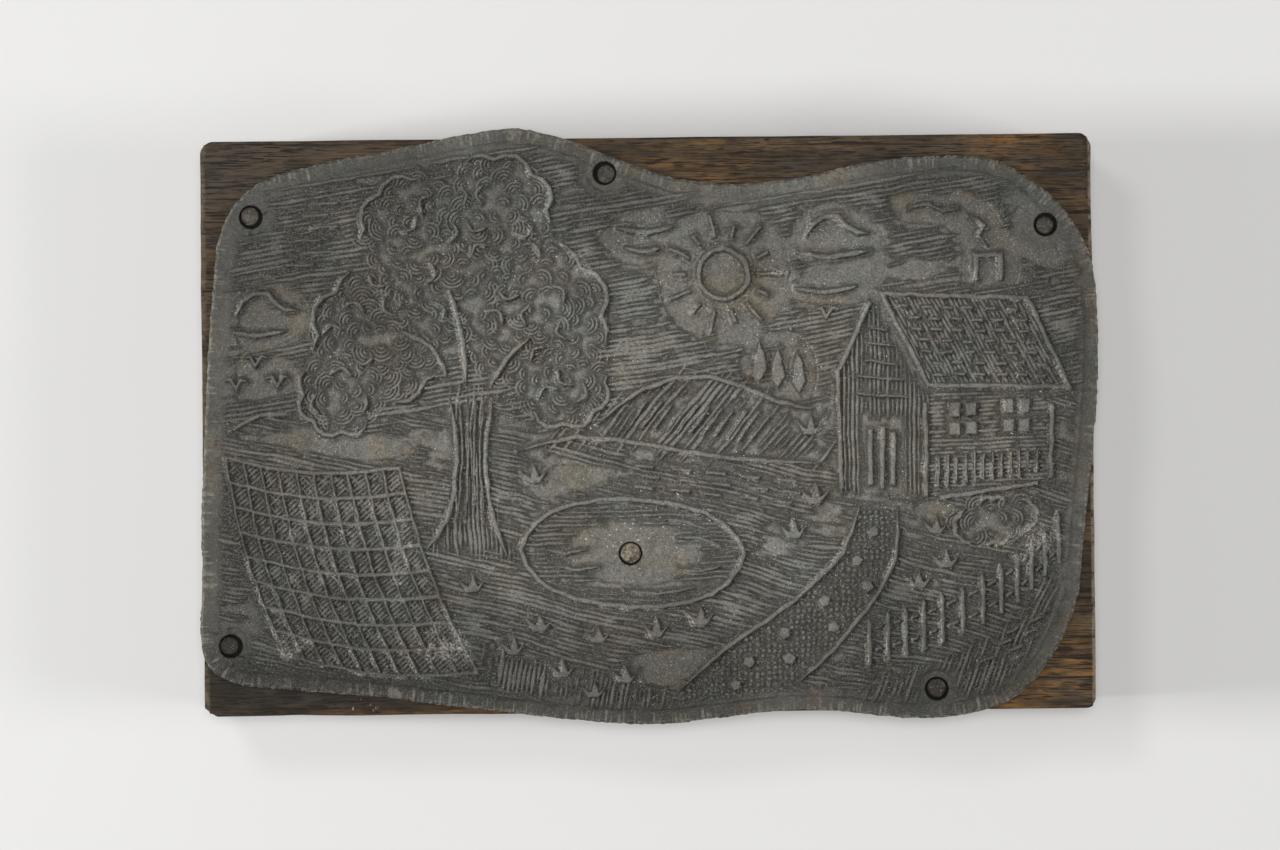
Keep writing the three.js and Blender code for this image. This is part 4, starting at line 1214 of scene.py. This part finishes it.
def buildNail(name, place, material, seed):
    rng = np.random.default_rng(seed)
    radius, *offset = nailShape["heads"][name]
    profile = nailProfile(radius)
    sides, seat, top = nailShape["sides"], nailShape["seat"], nailShape["headTop"]
    angles = np.arange(sides) / sides * 2 * math.pi
    lean = rng.normal(0, nailShape["lean"], 2)
    wobble = 1 + 0.012 * np.sin(2 * angles + rng.random() * 6) + 0.01 * np.sin(5 * angles + rng.random() * 6)
    points = [(0, 0, top)]
    for r, z in profile:
        shape = wobble if z > seat - 0.1 and r > 0.8 else 1
        px, py = r * np.cos(angles) * shape, r * np.sin(angles) * shape
        dents = nailShape["dents"] * np.sin(px * 3.1 + seed) * np.cos(py * 2.7 + 2 * seed) * (z > top - 0.2)
        pz = z + dents + (px * lean[0] + py * lean[1]) * (z > seat + 0.1)
        points += list(zip(px, py, pz))
    points.append((0, 0, nailShape["tip"] - 0.02))
    faces = [(0, 1 + k, 1 + (k + 1) % sides) for k in range(sides)]
    for start in range(1, 1 + (len(profile) - 1) * sides, sides):
        for k in range(sides):
            follow = (k + 1) % sides
            faces.append((start + k, start + sides + k, start + sides + follow, start + follow))
    last = 1 + (len(profile) - 1) * sides
    faces += [(last + k, len(points) - 1, last + (k + 1) % sides) for k in range(sides)]
    middle = np.array([place[0] + offset[0], place[1] + offset[1], 0])
    return addObject(name.replace("nail", "pin"), (np.array(points) + middle) * mm, faces, material)


iron = {
    "kinds": {  # light and dark tone, how metallic, and how much film lies on it
        "dark_iron": (rgb(112, 107, 98), rgb(60, 57, 52), 0.3, 0.85),
        "bare_iron": (rgb(140, 133, 118), rgb(58, 53, 42), 0.35, 0.0),
    },
    "dirt": (0.3, 0.3, 0.3),
    # darkens the nails towards the bottom
    "ink": (0.12, 0.12, 0.12),
    "films": ("dirt", "ink"),
    "rust": rgb(96, 72, 50),
    "pale": zinc["pale"],
    "cleanAt": (plate["nails"]["nail_left_top"], (60.0, 40.0), 0.2),
    "inkyAt": ((0.0, -36.0), (90.0, 40.0), 0.8),  # darker towards the bottom, over the two lower nails
    "noise": {
        "clouds": (0.8, 4.0, 0.7), "grain": (0.25, 3.0, 0.7), "rusted": (0.6, 3.0, 0.6),
        "scratches": ((0.8, 7.0, 1.0), 2.0, 0.5),
    },
    "coats": [
        ("light", 1.0, ("clouds", 0.38, 0.62)),
        ("dirt", 1.0, "dirty"),
        # darker towards the bottom
        ("ink", 0.75, "inky"),
        ("rust", 0.4, ("rusted", 0.56, 0.72)),
        ("dark", 0.6, ("grain", 0.46, 0.6)),
        ("pale", 0.4, ("grain", 0.44, 0.3)),
    ],
    "relief": {"clouds": 0.7, "scratches": 0.3, "grain": 0.4},
    "bump": (0.12, 1.0),
    "roughness": 0.45,
    "specular": 0.15,
}


def nailFinish(name):
    light, dark, metallic, film = iron["kinds"][name]
    finish = Finish(name, {**iron, "light": light, "dark": dark}, "dark")
    dirty = (1 - 0.28 * finish.spot(*iron["cleanAt"])) * film
    finish.fields.update(dirty=dirty, inky=finish.spot(*iron["inkyAt"]) * film)
    finish.coats(iron["coats"])
    return finish.finish(finish.surface({
        "Roughness": iron["roughness"] + 0.25 * finish.mask(("clouds", 0.3, 0.7)),
        "Metallic": metallic,
        "Specular IOR Level": iron["specular"],
    }))


# the floor and the light round it

def seenRays(tree):  # 1 for what the camera sees, straight or reflected
    rays = addNode(tree, "ShaderNodeLightPath", output="Is Camera Ray")
    mirrored = rays.other("Is Glossy Ray").math("MAXIMUM", rays.other("Is Transmission Ray"))
    return rays.math("MAXIMUM", mirrored)


def floorFinish():
    finish = Finish("paper_floor", studio, "floor")
    finish.coats(studio["coats"])
    paper = finish.surface({"Roughness": 0.9, "Specular IOR Level": 0.1})
    far = finish.between(finish.away((0.0, 0.0), (1.0, 1.0)), *studio["fade"])
    backdrop = finish.add("ShaderNodeEmission", {}, {"Color": studio["backdrop"], "Strength": 1.0})
    both = finish.add("ShaderNodeMixShader", {}, {0: far * seenRays(finish.tree), 1: paper, 2: backdrop})
    return finish.finish(both)


def addStudio(material):
    half = studio["floorHalf"] * mm
    corners = [(-half, -half, 0), (half, -half, 0), (half, half, 0), (-half, half, 0)]
    floor = addObject("paper_floor", corners, [(0, 1, 2, 3)], material)
    for lamp in studio["lamps"]:
        addLamp(*lamp)
    world = bpy.data.worlds.new("studio")
    bpy.context.scene.world = world
    world.use_nodes = True
    tree = world.node_tree
    tree.nodes.clear()
    sky = {"Color": (1.0, 1.0, 1.0), "Strength": studio["sky"]}
    ambient = addNode(tree, "ShaderNodeBackground", {}, sky)
    shown = addNode(tree, "ShaderNodeBackground", {}, {"Color": studio["backdrop"], "Strength": 1.0})
    both = addNode(tree, "ShaderNodeMixShader", {}, {0: seenRays(tree), 1: ambient, 2: shown})
    addNode(tree, "ShaderNodeOutputWorld", {}, {"Surface": both})
    bpy.context.scene.view_settings.view_transform = "Standard"


addCamera(plate["face"])
addStudio(floorFinish())
print("camera, floor and lamps set")

block = buildBlock(woodFinish())
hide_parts("wood_block")
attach(block, "root")
print("block made", len(block.data.polygons))

etched = buildPlate(zincFinish())
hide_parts("zinc_plate")
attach(etched, "root")
print("plate made", len(etched.data.polygons))

finishes = {kind: nailFinish(kind) for kind in iron["kinds"]}
for seed, (name, place) in enumerate(plate["nails"].items()):
    centre = name == "nail_middle"
    nail = buildNail(name, place, finishes["bare_iron" if centre else "dark_iron"], seed + 3)
    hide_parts(name)
    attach(nail, "root")
print("nails made")
